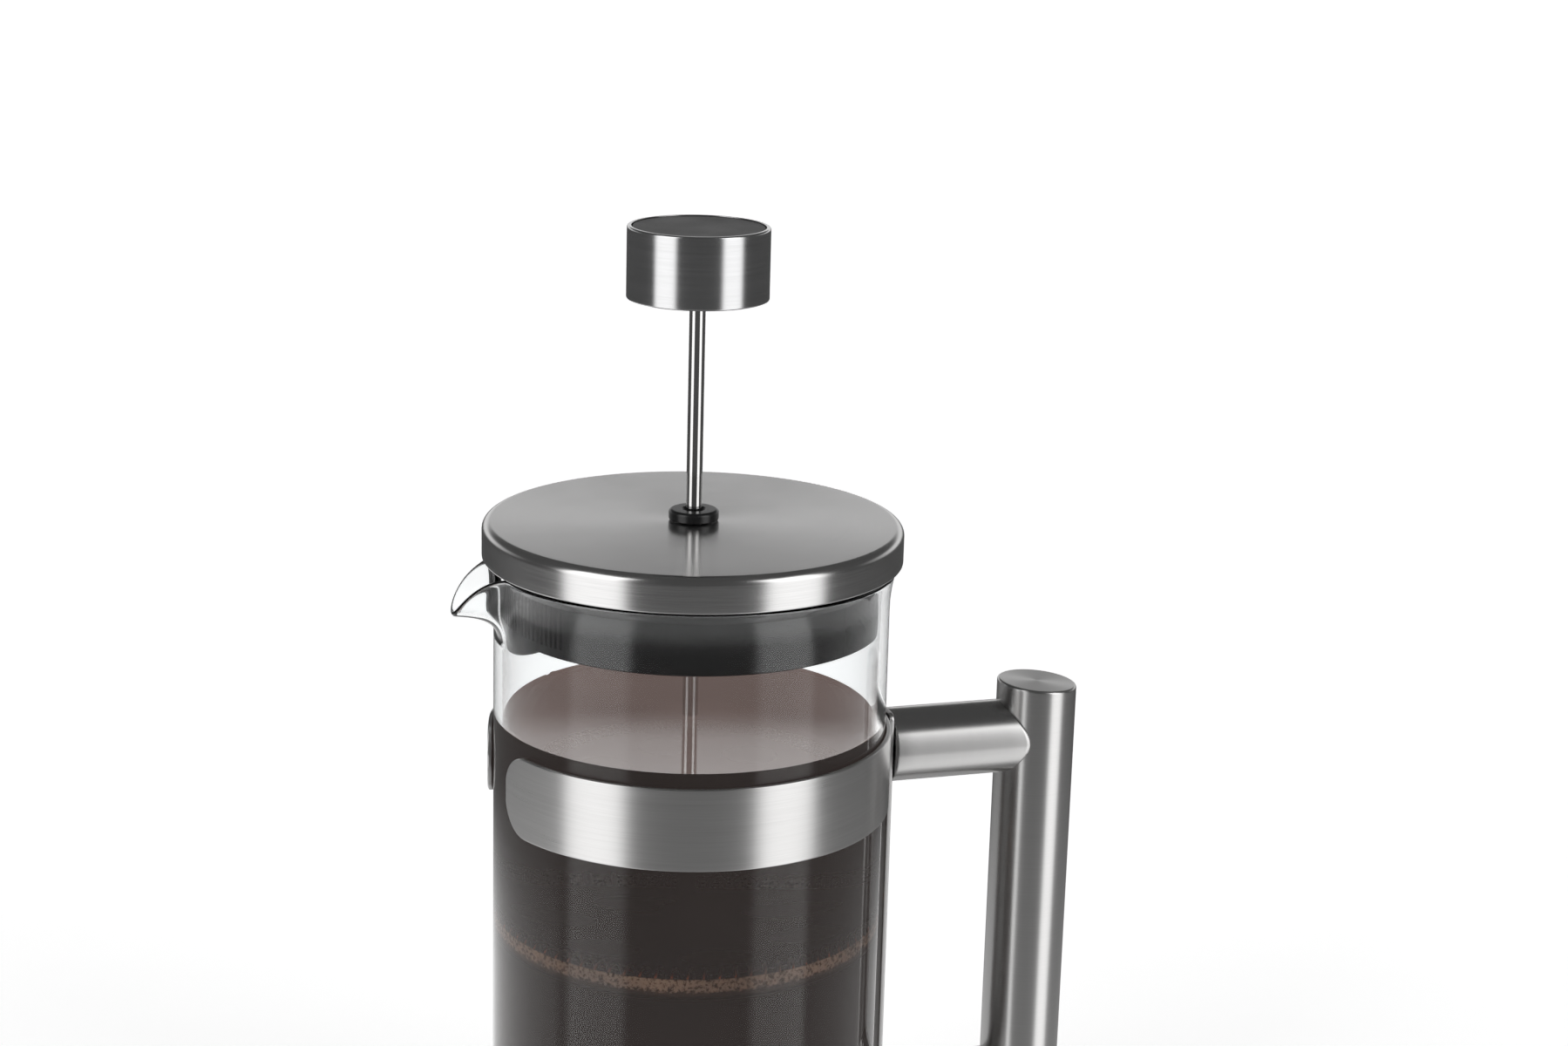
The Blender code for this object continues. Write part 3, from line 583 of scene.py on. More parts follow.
def make_band():
    """Sprung hoop, open beside the spout, with rounded corners and eased edges."""
    low, high = box("upper_band")
    outer = high.y
    inner = outer - SHEET
    half_length = (math.pi - BAND_OPEN_HALF) * outer
    edge = 0.35 * MM
    ends = [0.0, 0.08 * MM, 0.2 * MM, edge]
    corner = [BAND_CORNER * (1 - math.cos(math.pi / 2 * i / 16)) for i in range(1, 17)]
    near = ends + [d for d in corner if d > edge * 1.2]
    middle_steps = 200
    start = near[-1]
    span = 2 * half_length - 2 * start
    places = near + [start + span * i / middle_steps for i in range(1, middle_steps)]
    places += [2 * half_length - d for d in reversed(near)]
    bm = bmesh.new()
    rings = []
    for place in places:
        distance = min(place, 2 * half_length - place)
        draw_in, thin = 0.0, 0.0
        if distance < BAND_CORNER:
            draw_in = BAND_CORNER - math.sqrt(BAND_CORNER**2 - (BAND_CORNER - distance) ** 2)
        if distance < edge:
            thin = edge - math.sqrt(edge**2 - (edge - distance) ** 2)
        bottom, top = low.z + draw_in, high.z - draw_in
        section = [(outer - thin, bottom, edge), (outer - thin, top, edge)]
        section += [(inner + thin, top, edge), (inner + thin, bottom, edge)]
        angle = (place - half_length) / outer
        cosine, sine = math.cos(angle), math.sin(angle)
        rings.append([bm.verts.new((r * cosine, r * sine, z)) for r, z in rounded(section, 3)])
    skin(bm, rings)
    bm.faces.new(rings[0])
    bm.faces.new(rings[-1])
    add_piece("beaker_band", bm, BAND_STEEL, "frame", ["upper_band"])


def make_strap():
    low, high = box("handle_strap")
    half = high.y
    heights = [middle_height(level + "_handle_screw") for level in ("upper", "lower")]
    corner = 2.0 * MM
    outline = [(-half, low.z, corner), (half, low.z, corner), (half, high.z, corner), (-half, high.z, corner)]
    holes = [circle(SCREW_RADIUS + 0.4 * MM, (0.0, z), 32) for z in heights]
    bm = plate(rounded(outline, 6), holes, high.x - low.x, 0.3 * MM)
    stand = Matrix(((0, 0, 1, (low.x + high.x) / 2), (1, 0, 0, 0), (0, 1, 0, 0), (0, 0, 0, 1)))
    bmesh.ops.transform(bm, matrix=stand, verts=bm.verts)
    add_piece("frame_strap", bm, STRAP_STEEL, "frame", ["handle_strap"])


def make_arm(level):
    """Round arm whose end is shaped to the bar, with its outer edge rounded in towards the joint."""
    low, high = box(level + "_handle_arm")
    height = middle_height(level + "_handle_arm")
    radius = (high.z - low.z) / 2
    straight = low.x + ARM_EDGE
    eased = 0.15 * MM
    rings = [(radius * 0.55, low.x), (radius - ARM_EDGE, low.x)]
    rings += [(radius - eased, low.x + eased), (radius, straight)]
    bm = bmesh.new()
    made = [[bm.verts.new((low.x + 0.4 * MM, 0.0, height))]]
    angles = [math.tau * i / TUBE_SIDES for i in range(TUBE_SIDES)]
    for r, x in rings:
        made.append([bm.verts.new((x, r * math.cos(a), height + r * math.sin(a))) for a in angles])

    def on_bar(r, angle, depth=COPE_DEPTH):
        return BAR_X - math.sqrt(BAR_RADIUS**2 - (r * math.cos(angle) * depth) ** 2)

    for step in range(1, 9):
        ring = []
        for a in angles:
            x = straight + (on_bar(radius, a) - straight) * step / 8
            ring.append(bm.verts.new((x, radius * math.cos(a), height + radius * math.sin(a))))
        made.append(ring)
    for step in range(1, 5):
        turn = math.pi / 2 * step / 4
        r = radius - END_ROUNDING * (1 - math.cos(turn))
        ring = []
        for a in angles:
            start, end = on_bar(radius, a), on_bar(r, a, 1.0) + WELD_SINK
            x = start + (end - start) * math.sin(turn)
            ring.append(bm.verts.new((x, r * math.cos(a), height + r * math.sin(a))))
        made.append(ring)
    made.append([bm.verts.new((BAR_X - BAR_RADIUS / 2, 0.0, height))])
    skin(bm, made)
    add_piece(level + "_arm_tube", bm, ARM_STEEL[level], "frame", [level + "_handle_arm"])


def make_screw(level, countersunk):
    """Hexagon socket screw, put in from the beaker's side."""
    low, high = box(level + "_handle_screw")
    height, head = middle_height(level + "_handle_screw"), (high.z - low.z) / 2
    length = high.x - low.x
    if countersunk:
        rounding, rim, shank = 0.15 * MM, SCREW_RIM, head - SCREW_RADIUS + SCREW_RIM
    else:
        rounding, rim, shank = 0.5 * MM, PAN_HEAD_HEIGHT, PAN_HEAD_HEIGHT
    outline = [(0.0, 0.0), (head, 0.0, rounding), (head, rim, 0.1 * MM), (SCREW_RADIUS, shank)]
    outline += [(SCREW_RADIUS, length, 0.4 * MM), (0.0, length)]
    bm = along_x(lathe(rounded(outline, 3), SMALL_SIDES), height, low.x)
    screw = add_piece(level + "_screw", bm, ROD_STEEL, "frame", [level + "_handle_screw"])
    recess = bmesh.new()
    socket = {"radius1": SOCKET_RADIUS, "radius2": SOCKET_RADIUS, "depth": SOCKET_DEPTH}
    bmesh.ops.create_cone(recess, cap_ends=True, segments=6, **socket)
    cutter = bpy.data.meshes.new(level + "_recess")
    along_x(recess, height, low.x).to_mesh(cutter)
    recess.free()
    tool = bpy.data.objects.new(level + "_recess", cutter)
    bpy.context.scene.collection.objects.link(tool)
    cut = screw.modifiers.new("recess", "BOOLEAN")
    cut.operation = "DIFFERENCE"
    cut.object = tool
    bpy.context.view_layer.update()
    graph = bpy.context.evaluated_depsgraph_get()
    mesh = bpy.data.meshes.new_from_object(screw.evaluated_get(graph))
    screw.modifiers.clear()
    screw.data = mesh
    bpy.data.objects.remove(tool)


def make_bar():
    """Closed upright tube whose top face slopes slightly away from the beaker."""
    edge = 0.7 * MM
    outline = [(0.0, BAR_TOP), (BAR_RADIUS, BAR_TOP, edge), (BAR_RADIUS, BAR_BOTTOM, edge), (0.0, BAR_BOTTOM)]
    bm = lathe(rounded(outline, 6), TUBE_SIDES)
    for vert in bm.verts:
        if vert.co.z > BAR_TOP - 2 * edge:
            vert.co.z -= vert.co.x * math.tan(BAR_TOP_SLOPE)
    bmesh.ops.translate(bm, vec=(BAR_X, 0.0, 0.0), verts=bm.verts)
    tube_and_caps = ["handle_bar", "bar_top_cap", "bar_bottom_cap"]
    add_piece("bar_tube", bm, BAR_STEEL, "frame", tube_and_caps)


# ------------------------------------------------------------ beaker


def spout_weight(angle, half_angle, power):
    """1 on the spout's centre line, which points along -X, falling off to both sides."""
    away = abs(math.remainder(angle - math.pi, math.tau))
    return math.exp(-((away / half_angle) ** power))


def spout_rise(z):
    """0 where the spout starts and 1 at its lip."""
    return max(0.0, 1 + (z - WALL_TOP) / SPOUT_HEIGHT)


def outer_face(angle, z):
    """Point of the beaker's outer face, which opens at the rim and is drawn out into the spout."""
    flare = max(0.0, (z - (BEAKER_RIM - RIM_FLARE_HEIGHT)) / RIM_FLARE_HEIGHT)
    radius = GLASS_RADIUS + RIM_FLARE * flare**RIM_CURVE
    rise = spout_rise(z)
    radius += SPOUT_REACH * spout_weight(angle, SPOUT_HALF_ANGLE, SPOUT_SIDES) * rise**SPOUT_CURVE
    z -= SPOUT_DROOP * spout_weight(angle, DROOP_HALF_ANGLE, DROOP_SIDES) * rise**DROOP_CURVE
    return Vector((radius * math.cos(angle), radius * math.sin(angle), z))


def wall_section(angle, z):
    """(outer point, inward direction, upward direction, thickness) of the wall."""
    small_turn, small_rise = 0.002, 0.05 * MM
    around = outer_face(angle + small_turn, z) - outer_face(angle - small_turn, z)
    up = outer_face(angle, z + small_rise) - outer_face(angle, z - small_rise)
    drawn = spout_weight(angle, SPOUT_HALF_ANGLE, SPOUT_SIDES) * spout_rise(z)
    thickness = GLASS_WALL - SPOUT_THINNING * drawn
    return outer_face(angle, z), up.cross(around).normalized(), up.normalized(), thickness


def make_beaker():
    """Round beaker with a fire-polished rim and a drawn-out spout."""
    floor = BEAKER_BOTTOM + GLASS_FLOOR
    bend = GLASS_CORNER - GLASS_WALL
    corner = arc(GLASS_RADIUS - GLASS_CORNER, BEAKER_BOTTOM + GLASS_CORNER, GLASS_CORNER, -90, 0, 14)
    inner_corner = arc(GLASS_RADIUS - GLASS_CORNER, floor + bend, bend, -90, 0, 12)
    plain_levels = [BEAKER_BOTTOM + 30.0 * MM + 26.0 * MM * i for i in range(5)]
    steps = 30
    levels = plain_levels + [WALL_TOP - SPOUT_HEIGHT * (1 - i / steps) for i in range(steps + 1)]
    lip_turns = [math.pi * i / 10 for i in range(1, 10)]
    fine_half, fine, plain = math.radians(30.0), 96, 148
    angles = [math.pi - fine_half + 2 * fine_half * i / fine for i in range(fine)]
    angles += [math.pi + fine_half + (math.tau - 2 * fine_half) * i / plain for i in range(plain)]
    columns = []
    for angle in angles:
        heading = Vector((math.cos(angle), math.sin(angle), 0.0))
        walls = [wall_section(angle, z) for z in levels]
        points = [heading * r + Vector((0.0, 0.0, z)) for r, z in corner]
        points += [face for face, inward, up, thickness in walls]
        face, inward, up, thickness = walls[-1]
        for turn in lip_turns:
            points.append(face + (inward * (1 - math.cos(turn)) + up * math.sin(turn)) * thickness / 2)
        points += [face + inward * thickness for face, inward, up, thickness in reversed(walls)]
        points += [heading * r + Vector((0.0, 0.0, z)) for r, z in reversed(inner_corner)]
        columns.append(points)
    bm = bmesh.new()
    rings = [[bm.verts.new((0.0, 0.0, BEAKER_BOTTOM))]]
    rings += [[bm.verts.new(column[i]) for column in columns] for i in range(len(columns[0]))]
    rings.append([bm.verts.new((0.0, 0.0, floor))])
    skin(bm, rings)
    add_piece("blown_beaker", bm, GLASS, "beaker", ["glass_beaker"], sharp=60)


# ------------------------------------------------------------ lid


def lid_top_height(radius):
    """Height of the lid's gently crowned top at that radius."""
    return LID_TOP - LID_CROWN * (radius / (LID_RADIUS - SHOULDER)) ** 2


def make_lid():
    low, high = box("lid_gasket")
    outline = [(GASKET_BORE, low.z, 0.3 * MM), (high.y, low.z, 0.5 * MM)]
    outline += [(high.y, high.z, 0.5 * MM), (GASKET_BORE, high.z, 0.3 * MM)]
    add_piece("rim_gasket", lathe(rounded(outline, 3)), RUBBER, "lid_seat", ["lid_gasket"])

    edge = LID_RADIUS - SHOULDER
    skirt_top = LID_BOTTOM + SKIRT_HEIGHT
    rise = lid_top_height(edge) - skirt_top
    sides = []
    for depth in (0.0, LID_SHEET):
        face = [(LID_RADIUS - depth, LID_BOTTOM + 0.4 * MM + 3.0 * MM * i) for i in range(3)]
        for i in range(15):
            turn = math.pi / 2 * i / 14
            r = edge + (SHOULDER - depth) * math.cos(turn)
            face.append((r, skirt_top + (rise - depth) * math.sin(turn)))
        tops = [CENTER_HOLE + (edge - CENTER_HOLE) * (1 - i / 14) for i in range(1, 15)]
        sides.append(face + [(r, lid_top_height(r) - depth) for r in tops])
    middle = LID_RADIUS - LID_SHEET / 2
    hem = arc(middle, LID_BOTTOM + 0.4 * MM, LID_SHEET / 2, 180, 360, 8)[1:-1]
    outline = hem + sides[0] + sides[1][::-1]
    add_piece("lid_shell", lathe(outline, 256), LID_STEEL, "lid", ["lid_cap"])


def insert_drop(angle):
    """Extra depth of the insert's lower edge below the spout."""
    away = abs(math.remainder(angle - math.pi, math.tau)) / INSERT_TONGUE_HALF
    return INSERT_TONGUE * (1.0 - away**2) if away < 1 else 0.0


def make_insert():
    """Dark liner: web, flared collar and a skirt whose slots beside the spout strain the coffee."""
    inner = INSERT_RADIUS - INSERT_WALL
    collar = INSERT_RADIUS + INSERT_FLARE
    flange = LID_RADIUS - LID_SHEET - 0.4 * MM
    web_bottom = WEB_TOP - WEB_THICKNESS
    flare_top = BEAKER_RIM - 0.6 * MM
    easing = 0.35 * MM
    fillet = 1.2 * MM
    outer_wall = [(INSERT_RADIUS - easing, INSERT_BOTTOM), (INSERT_RADIUS, INSERT_BOTTOM + easing)]
    outer_wall += [(INSERT_RADIUS, SLOT_BOTTOM), (INSERT_RADIUS, SLOT_TOP)]
    for i in range(1, 11):
        share = i / 10
        z = INSERT_FLARE_BOTTOM + (flare_top - INSERT_FLARE_BOTTOM) * share
        if z > SLOT_TOP:
            outer_wall.append((INSERT_RADIUS + INSERT_FLARE * share**INSERT_FLARE_CURVE, z))
    outer_wall += [(collar, web_bottom), (flange - 0.3 * MM, web_bottom), (flange, web_bottom + 0.3 * MM)]
    outer_wall += [(flange, WEB_TOP - 0.3 * MM), (flange - 0.3 * MM, WEB_TOP)]
    outer_wall += [(r * MM, WEB_TOP) for r in (44.0, 30.0, 15.0)] + [(CENTER_HOLE, WEB_TOP)]
    inner_wall = [(inner + easing, INSERT_BOTTOM), (inner, INSERT_BOTTOM + easing)]
    inner_wall += [(inner, SLOT_BOTTOM), (inner, SLOT_TOP)]
    inner_wall += arc(inner - fillet, web_bottom - fillet, fillet, 0, 90, 5)
    inner_wall += [(r * MM, web_bottom) for r in (30.0, 15.0)] + [(CENTER_HOLE, web_bottom)]
    section = outer_wall + inner_wall[::-1]
    count = len(section)
    low_out, high_out, high_in, low_in = 2, 3, count - 4, count - 3  # where the slots end in the section

    half_slot = SLOT_WIDTH / INSERT_RADIUS / 2
    half_span = SLOT_PITCH * SLOT_COUNT / 2
    angles, open_columns = [], set()
    for i in range(SLOT_COUNT):
        middle = math.pi + SLOT_PITCH * (i - (SLOT_COUNT - 1) / 2)
        angles += [middle - SLOT_PITCH / 2, middle - half_slot, middle + half_slot]
        open_columns.add(len(angles) - 2)
    plain = 150
    angles += [math.pi + half_span + (math.tau - 2 * half_span) * i / plain for i in range(plain)]

    bm = bmesh.new()
    columns = []
    for angle in angles:
        column = []
        for r, z in section:
            if z < INSERT_BOTTOM + 2 * easing:
                z -= insert_drop(angle)
            column.append(bm.verts.new((r * math.cos(angle), r * math.sin(angle), z)))
        columns.append(column)
    for k, first in enumerate(columns):
        second = columns[(k + 1) % len(columns)]
        is_open = k in open_columns
        for i in range(count):
            if is_open and i in (low_out, high_in):
                continue
            j = (i + 1) % count
            bm.faces.new((first[i], first[j], second[j], second[i]))
        if is_open:
            for column in (first, second):
                bm.faces.new((column[low_out], column[high_out], column[high_in], column[low_in]))
            for out, back in ((low_out, low_in), (high_out, high_in)):
                bm.faces.new((first[out], second[out], second[back], first[back]))
    add_piece("strainer_liner", bm, DARK_PLASTIC, "lid", ["strainer_insert"])

    low, high = box("bush_retainer")
    outline = [(CENTER_HOLE, low.z, 0.3 * MM), (high.x, low.z, 0.4 * MM)]
    outline += [(high.x, high.z, 0.2 * MM), (CENTER_HOLE, high.z)]
    bm = lathe(rounded(outline, 3), SMALL_SIDES)
    add_piece("bush_ring", bm, DARK_PLASTIC, "lid", ["bush_retainer"])


def make_bush():
    low, high = box("guide_bush")
    flange, top = high.x, high.z
    outline = [(BUSH_BORE, low.z), (BUSH_BORE, top - 1.0 * MM, 0.3 * MM)]
    outline += [(BUSH_BORE + 0.7 * MM, top, 0.3 * MM), (flange, top, 0.9 * MM)]
    outline += [(flange, BUSH_SEAT, 0.3 * MM), (BUSH_NECK, BUSH_SEAT), (BUSH_NECK, low.z, 0.3 * MM)]
    bm = lathe(rounded(outline, 6), TUBE_SIDES)
    add_piece("rod_guide", bm, BLACK_PLASTIC, "bush", ["guide_bush"])


# ------------------------------------------------------------ plunger


def make_knob():
    low, high = box("knob_shell")
    radius = (high.x - low.x) / 2
    inner = radius - KNOB_SLEEVE
    outline = [(inner, low.z, 0.2 * MM), (radius, low.z, 0.4 * MM)]
    outline += [(radius, high.z, 0.75 * MM), (inner, high.z, 0.12 * MM)]
    bm = lathe(rounded(outline, 6), 160)
    add_piece("knob_sleeve", bm, KNOB_STEEL, "plunger", ["knob_shell"])

    low, high = box("knob_core")
    inner_mouth, inner_end, outer_end, outer_mouth = (r * MM for r in (4.4, 5.0, 10.0, 11.0))
    hollow_top = low.z + KNOB_HOLLOW_DEPTH
    bore_top = high.z - KNOB_TOP_WEB
    outline = [(0.0, high.z), (high.x, high.z, 0.15 * MM), (high.x, low.z, 0.6 * MM)]
    outline += [(outer_mouth, low.z, 0.4 * MM), (outer_end, hollow_top, 0.6 * MM)]
    outline += [(inner_end, hollow_top, 0.5 * MM), (inner_mouth, low.z, 0.4 * MM)]
    outline += [(ROD_HOLE, low.z, 0.3 * MM), (ROD_HOLE, bore_top), (0.0, bore_top)]
    bm = lathe(rounded(outline, 4), 128)
    add_piece("knob_body", bm, KNOB_PLASTIC, "plunger", ["knob_core"])


def make_rod():
    low, high = box("plunger_rod")
    radius = high.x
    outline = [(0.0, high.z), (radius, high.z, 0.4 * MM), (radius, low.z, 0.4 * MM), (0.0, low.z)]
    bm = lathe(rounded(outline, 4), SMALL_SIDES)
    add_piece("rod_bar", bm, ROD_STEEL, "plunger", ["plunger_rod"])


def drain_plate(name, cad, holes, ring, radius):
    """Round plate with the rod's hole in the middle and a ring of larger holes."""
    low, high = box(cad)
    turns = [math.tau * (i + 0.5) / holes for i in range(holes)]
    centers = [(ring * math.cos(t), ring * math.sin(t)) for t in turns]
    loops = [circle(ROD_HOLE, count=SMALL_SIDES)] + [circle(radius, center) for center in centers]
    bm = plate(circle(high.x, count=SIDES), loops, high.z - low.z, 0.25 * MM)
    bmesh.ops.translate(bm, vec=(0.0, 0.0, (low.z + high.z) / 2), verts=bm.verts)
    add_piece(name, bm, FILTER_STEEL, "plunger", [cad])


def make_spring():
    """Coil spring wound round the edge of the spreader plate."""
    middle = middle_height("edge_spring")
    coil = SPRING_COIL - SPRING_WIRE
    per_turn = 18
    sides = 8
    total = SPRING_TURNS * per_turn
    centers, points = [], []
    for i in range(total):
        around = math.tau * i / total
        wind = math.tau * i / per_turn
        outward = Vector((math.cos(around), math.sin(around), 0.0))
        center = outward * SPRING_RING + Vector((0.0, 0.0, middle))
        centers.append(center)
        points.append(center + outward * coil * math.cos(wind) + Vector((0.0, 0.0, coil * math.sin(wind))))
    bm = bmesh.new()
    rings = []
    turns = [math.tau * k / sides for k in range(sides)]
    for i, (center, point) in enumerate(zip(centers, points)):
        heading = (points[(i + 1) % total] - points[i - 1]).normalized()
        side = heading.cross((point - center).normalized()).normalized()
        up = side.cross(heading)
        ways = [math.cos(t) * up + math.sin(t) * side for t in turns]
        rings.append([bm.verts.new(point + SPRING_WIRE * way) for way in ways])
    skin(bm, rings, closed_round=True)
    add_piece("coil_spring", bm, SPRING_STEEL, "plunger", ["edge_spring"], sharp=80)


def make_filter():
    low, high = box("filter_hub")
    outline = [(ROD_HOLE, high.z, 0.3 * MM), (high.x, high.z, 0.6 * MM)]
    outline += [(high.x, low.z, 0.3 * MM), (ROD_HOLE, low.z)]
    bm = lathe(rounded(outline, 4), SMALL_SIDES)
    add_piece("rod_collar", bm, ROD_STEEL, "plunger", ["filter_hub"])
    drain_plate("spring_plate", "spreader_plate", 6, 25.0 * MM, 8.0 * MM)
    make_spring()

    low, high = box("mesh_screen")
    outer, inner = high.y, high.y - MESH_THICKNESS
    floor = low.z + MESH_THICKNESS
    outline = [(ROD_HOLE, floor), (inner, floor, MESH_BEND - MESH_THICKNESS), (inner, high.z, 0.2 * MM)]
    outline += [(outer, high.z, 0.2 * MM), (outer, low.z, MESH_BEND), (ROD_HOLE, low.z)]
    bm = lathe(rounded(outline, 6), 256)
    add_piece("wire_screen", bm, MESH_STEEL, "plunger", ["mesh_screen"])
    drain_plate("screen_plate", "cross_plate", 4, 20.5 * MM, 11.5 * MM)

    low, high = box("filter_nut")
    chamfer = 0.5 * MM
    face = high.x * 0.86
    outline = [(ROD_HOLE, low.z), (face, low.z), (high.x, low.z + chamfer), (high.x, high.z - chamfer)]
    outline += [(face, high.z), (ROD_HOLE, high.z)]
    bm = lathe(outline, 6)
    add_piece("stack_nut", bm, ROD_STEEL, "plunger", ["filter_nut"], sharp=20)


# ------------------------------------------------------------ contents, studio and camera


def coffee_look(name, shine, glow_brown):
    """Dark clear coffee: it absorbs light, and a painted glow on its skin stands in for light scattered by
    fines.
    """
    material, tree, shader = new_material(name, Transmission_Weight=1.0, IOR=1.333, Roughness=0.0)
    shader.inputs["Base Color"].default_value = (1.0, 1.0, 1.0, 1.0)
    shader.inputs["Specular Tint"].default_value = (shine, shine, shine, 1.0)
    place = node(tree, "TexCoord").outputs["Object"]
    tone = tones(tree, noise(tree, place, 30.0, 2.0), scaled(glow_brown, 0.93), scaled(glow_brown, 1.07))
    # painted glow: emission on the outside of the skin, in place of scattered light
    body = node(tree, "Emission", {"Color": tone, "Strength": seen_from_outside(tree)})
    set_surface(tree, "AddShader", {0: shader.outputs["BSDF"], 1: body.outputs["Emission"]})
    volume = node(tree, "VolumeAbsorption", {"Color": (0.78, 0.46, 0.22, 1.0), "Density": 1000.0})
    tree.links.new(volume.outputs["Volume"], tree.nodes["Material Output"].inputs["Volume"])
    return material


def make_coffee():
    """The brewed coffee, which is contents and not part of the press, so it is staged."""
    inside = GLASS_RADIUS - GLASS_WALL
    side = inside + COFFEE_SINK
    floor = BEAKER_BOTTOM + GLASS_FLOOR - COFFEE_SINK
    corner = GLASS_CORNER - GLASS_WALL + COFFEE_SINK
    outline = [(0.0, floor), (side, floor, corner), (side, COFFEE_LEVEL + 0.9 * MM)]
    outline += [(inside - 0.5 * MM, COFFEE_LEVEL + 0.25 * MM)]  # it climbs a little at the glass
    outline += [(inside - 1.6 * MM, COFFEE_LEVEL), (0.0, COFFEE_LEVEL)]
    body = coffee_look("coffee_body", 0.04, (0.026, 0.0205, 0.0190))
    coffee = new_object("coffee", lathe(rounded(outline, 8)), body, 50)
    # the top surface gets a brighter painted glow than the body
    coffee.data.materials.append(coffee_look("coffee_surface", 0.45, (0.125, 0.090, 0.081)))
    for face in coffee.data.polygons:
        face.material_index = 1 if face.center.z > COFFEE_LEVEL - 0.1 * MM else 0
    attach(coffee, "beaker")


def sees_surroundings(tree):
    """1 for the camera's own rays, also through the glass, and 0 for those that the pieces reflect.

    A reflected ray that comes out of the glass is known by how often it has crossed the glass.
    """
    path = node(tree, "LightPath").outputs

    def over(depth, limit):
        return math_node(tree, "GREATER_THAN", path[depth], limit)

    mirrored = product(tree, over("Glossy Depth", 0.5), over("Transmission Depth", 3.5))
    bounced = math_node(tree, "MAXIMUM", mirrored, over("Diffuse Depth", 0.5))
    through = product(tree, path["Is Transmission Ray"], math_node(tree, "SUBTRACT", 1.0, bounced))
    return math_node(tree, "MAXIMUM", path["Is Camera Ray"], through)


def make_floor():
    """Pale floor that the camera sees, also through the glass. The pieces mirror the studio instead."""
    material, tree, shader = new_material("pale_floor", Roughness=0.55, Emission_Strength=0.76)
    place = node(tree, "TexCoord").outputs["Object"]
    speckle = noise(tree, place, 30.0, 2.0)
    tree.links.new(tones(tree, speckle, (0.90, 0.90, 0.90), (0.92, 0.92, 0.92)), shader.inputs["Base Color"])
    shader.inputs["Emission Color"].default_value = (1.0, 1.0, 1.0, 1.0)
    clear = node(tree, "BsdfTransparent").outputs["BSDF"]
    set_surface(tree, "MixShader", {0: sees_surroundings(tree), 1: clear, 2: shader.outputs["BSDF"]})
    bm = bmesh.new()
    bmesh.ops.create_circle(bm, cap_ends=True, segments=96, radius=8.0)
    floor = new_object("floor", bm, material)
    floor.visible_glossy = False
    floor.visible_shadow = False


def window(tree, value, low, high, soft):
    """1 between low and high, with soft ends."""
    steps = []
    for edge in (low, high):
        inputs = {"Value": value, "From Min": edge - soft, "From Max": edge + soft}
        steps.append(node(tree, "MapRange", inputs, interpolation_type="SMOOTHSTEP").outputs["Result"])
    return product(tree, steps[0], math_node(tree, "SUBTRACT", 1.0, steps[1]))


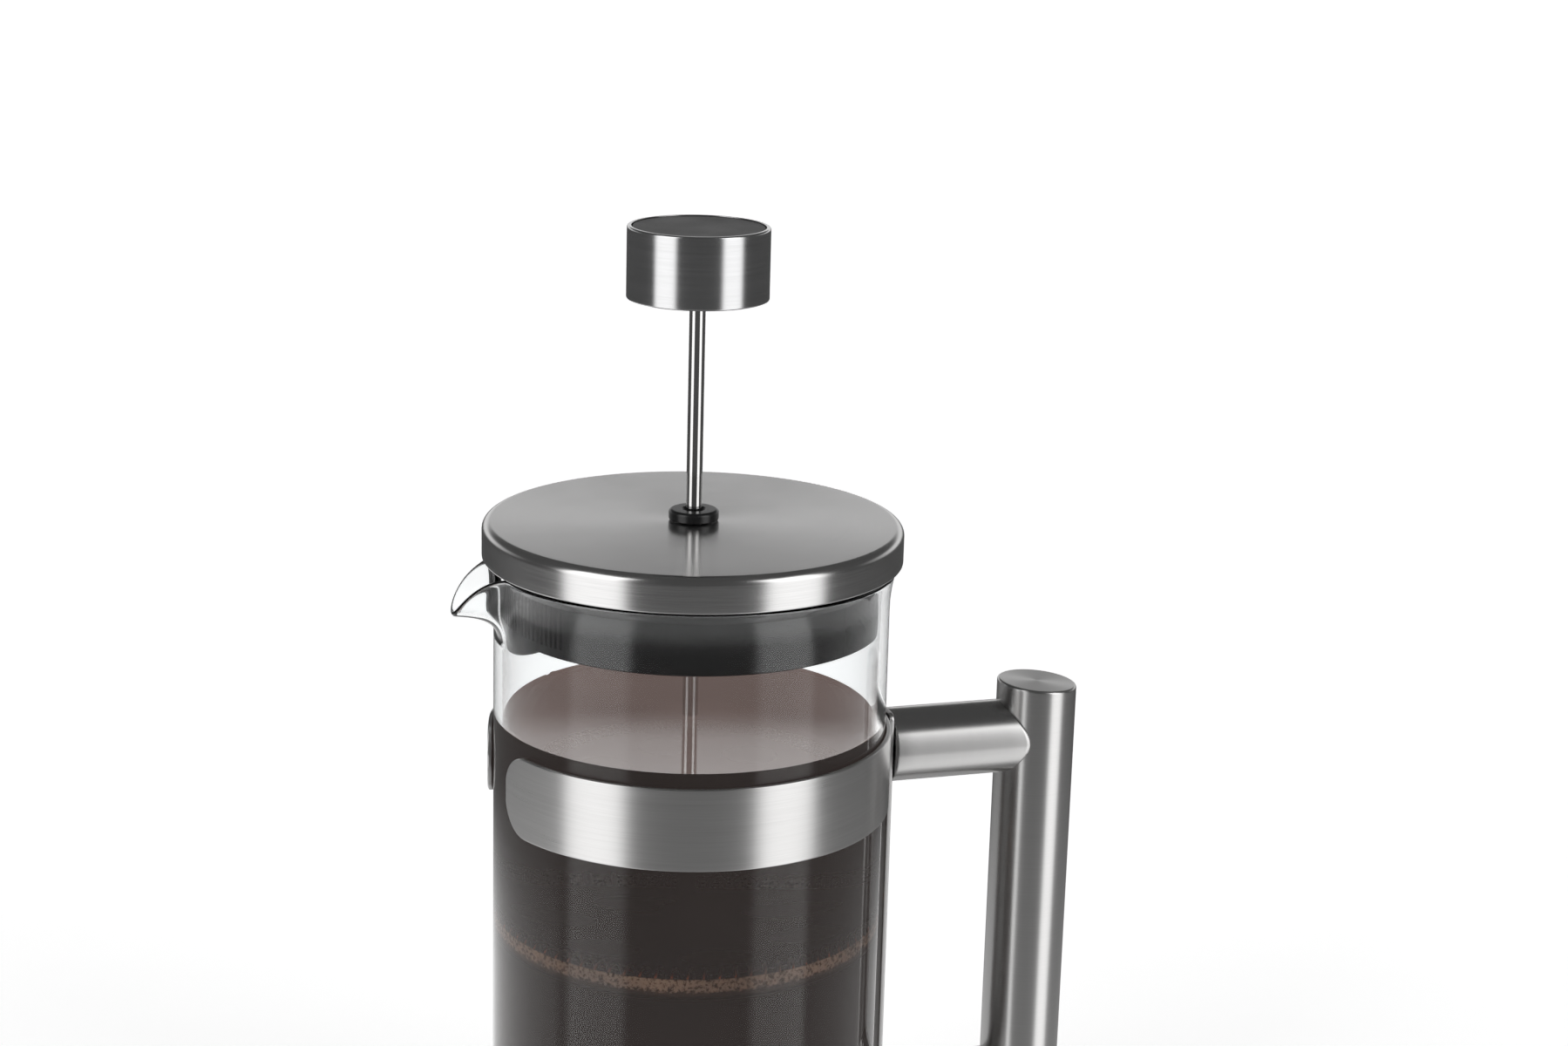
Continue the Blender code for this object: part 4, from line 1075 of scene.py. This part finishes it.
def make_studio():
    """Two tall soft boxes left and right, a bright backdrop and a dim ceiling, all in the world."""
    world = bpy.data.worlds.new("studio")
    bpy.context.scene.world = world
    world.use_nodes = True
    tree = world.node_tree
    tree.nodes.clear()
    way = node(tree, "TexCoord").outputs["Generated"]
    square_on = {"Vector": way, "Angle": math.pi / 2 + CAMERA_TURN}
    turned = node(tree, "VectorRotate", square_on, rotation_type="Z_AXIS").outputs["Vector"]
    parts = node(tree, "SeparateXYZ", {0: turned}).outputs
    side = math_node(tree, "ARCTAN2", parts["Y"], parts["X"])
    either_side = math_node(tree, "ABSOLUTE", side)
    up = parts["Z"]
    taller = remap(tree, up, 0.75, 2.35, -0.9, 0.7)  # the soft boxes are brightest at their tops
    tall, low_down = (-0.95, 0.70, 0.05), (-0.95, -0.37, 0.03)
    lights = [  # strength, then bearings in degrees and heights, each as from, to and softness
        (taller, side, (-73, -36, 4), tall),
        (taller, side, (40, 75, 4), tall),
        (0.80, either_side, (120, 200, 25), (0.0, 0.28, 0.06)),
        (0.45, side, (-170, -80, 6), low_down),
        (0.06, side, (80, 170, 6), low_down),
    ]
    total = remap(tree, up, 0.34, 0.08, -0.40, -0.34)  # a table below the horizon, a dim room above it
    for strength, bearing, degrees, heights in lights:
        across = window(tree, bearing, *(math.radians(angle) for angle in degrees))
        total = math_node(tree, "ADD", total, product(tree, across, window(tree, up, *heights), strength))
    shares = {"Factor": sees_surroundings(tree), "A": total, "B": 1.0}
    value = node(tree, "Mix", shares, data_type="FLOAT").outputs[0]
    background = node(tree, "Background", {"Color": (1.0, 1.0, 1.0, 1.0), "Strength": value})
    output = node(tree, "OutputWorld")
    tree.links.new(background.outputs["Background"], output.inputs["Surface"])


def make_camera():
    data = bpy.data.cameras.new("camera")
    data.lens = CAMERA_LENS
    data.sensor_width = 36.0
    camera = bpy.data.objects.new("camera", data)
    bpy.context.scene.collection.objects.link(camera)
    yaw, pitch, roll = CAMERA_YAW, CAMERA_PITCH, CAMERA_ROLL
    forward = Vector((math.sin(yaw) * math.cos(pitch), math.cos(yaw) * math.cos(pitch), -math.sin(pitch)))
    right = forward.cross(Vector((0.0, 0.0, 1.0))).normalized()
    up = right.cross(forward)
    across = math.cos(roll) * right + math.sin(roll) * up
    upright = math.cos(roll) * up - math.sin(roll) * right
    axes = Matrix((across, upright, -forward)).transposed()
    turn = Matrix.Rotation(-CAMERA_TURN, 3, "Z")
    camera.matrix_world = Matrix.Translation(turn @ CAMERA_PLACE) @ (turn @ axes).to_4x4()
    bpy.context.scene.camera = camera


make_camera()
make_studio()
make_floor()
make_base()
make_band()
make_strap()
for arm_level in ("upper", "lower"):
    make_arm(arm_level)
    make_screw(arm_level, arm_level == "upper")
make_bar()
make_beaker()
make_lid()
make_insert()
make_bush()
make_knob()
make_rod()
make_filter()
make_coffee()

for name in ("upper_arm_plug", "lower_arm_plug"):
    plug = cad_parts[name]
    plug.data.materials.clear()
    plug.data.materials.append(ROD_STEEL)

scene = bpy.context.scene
scene.view_settings.view_transform = "Standard"
scene.cycles.use_denoising = True
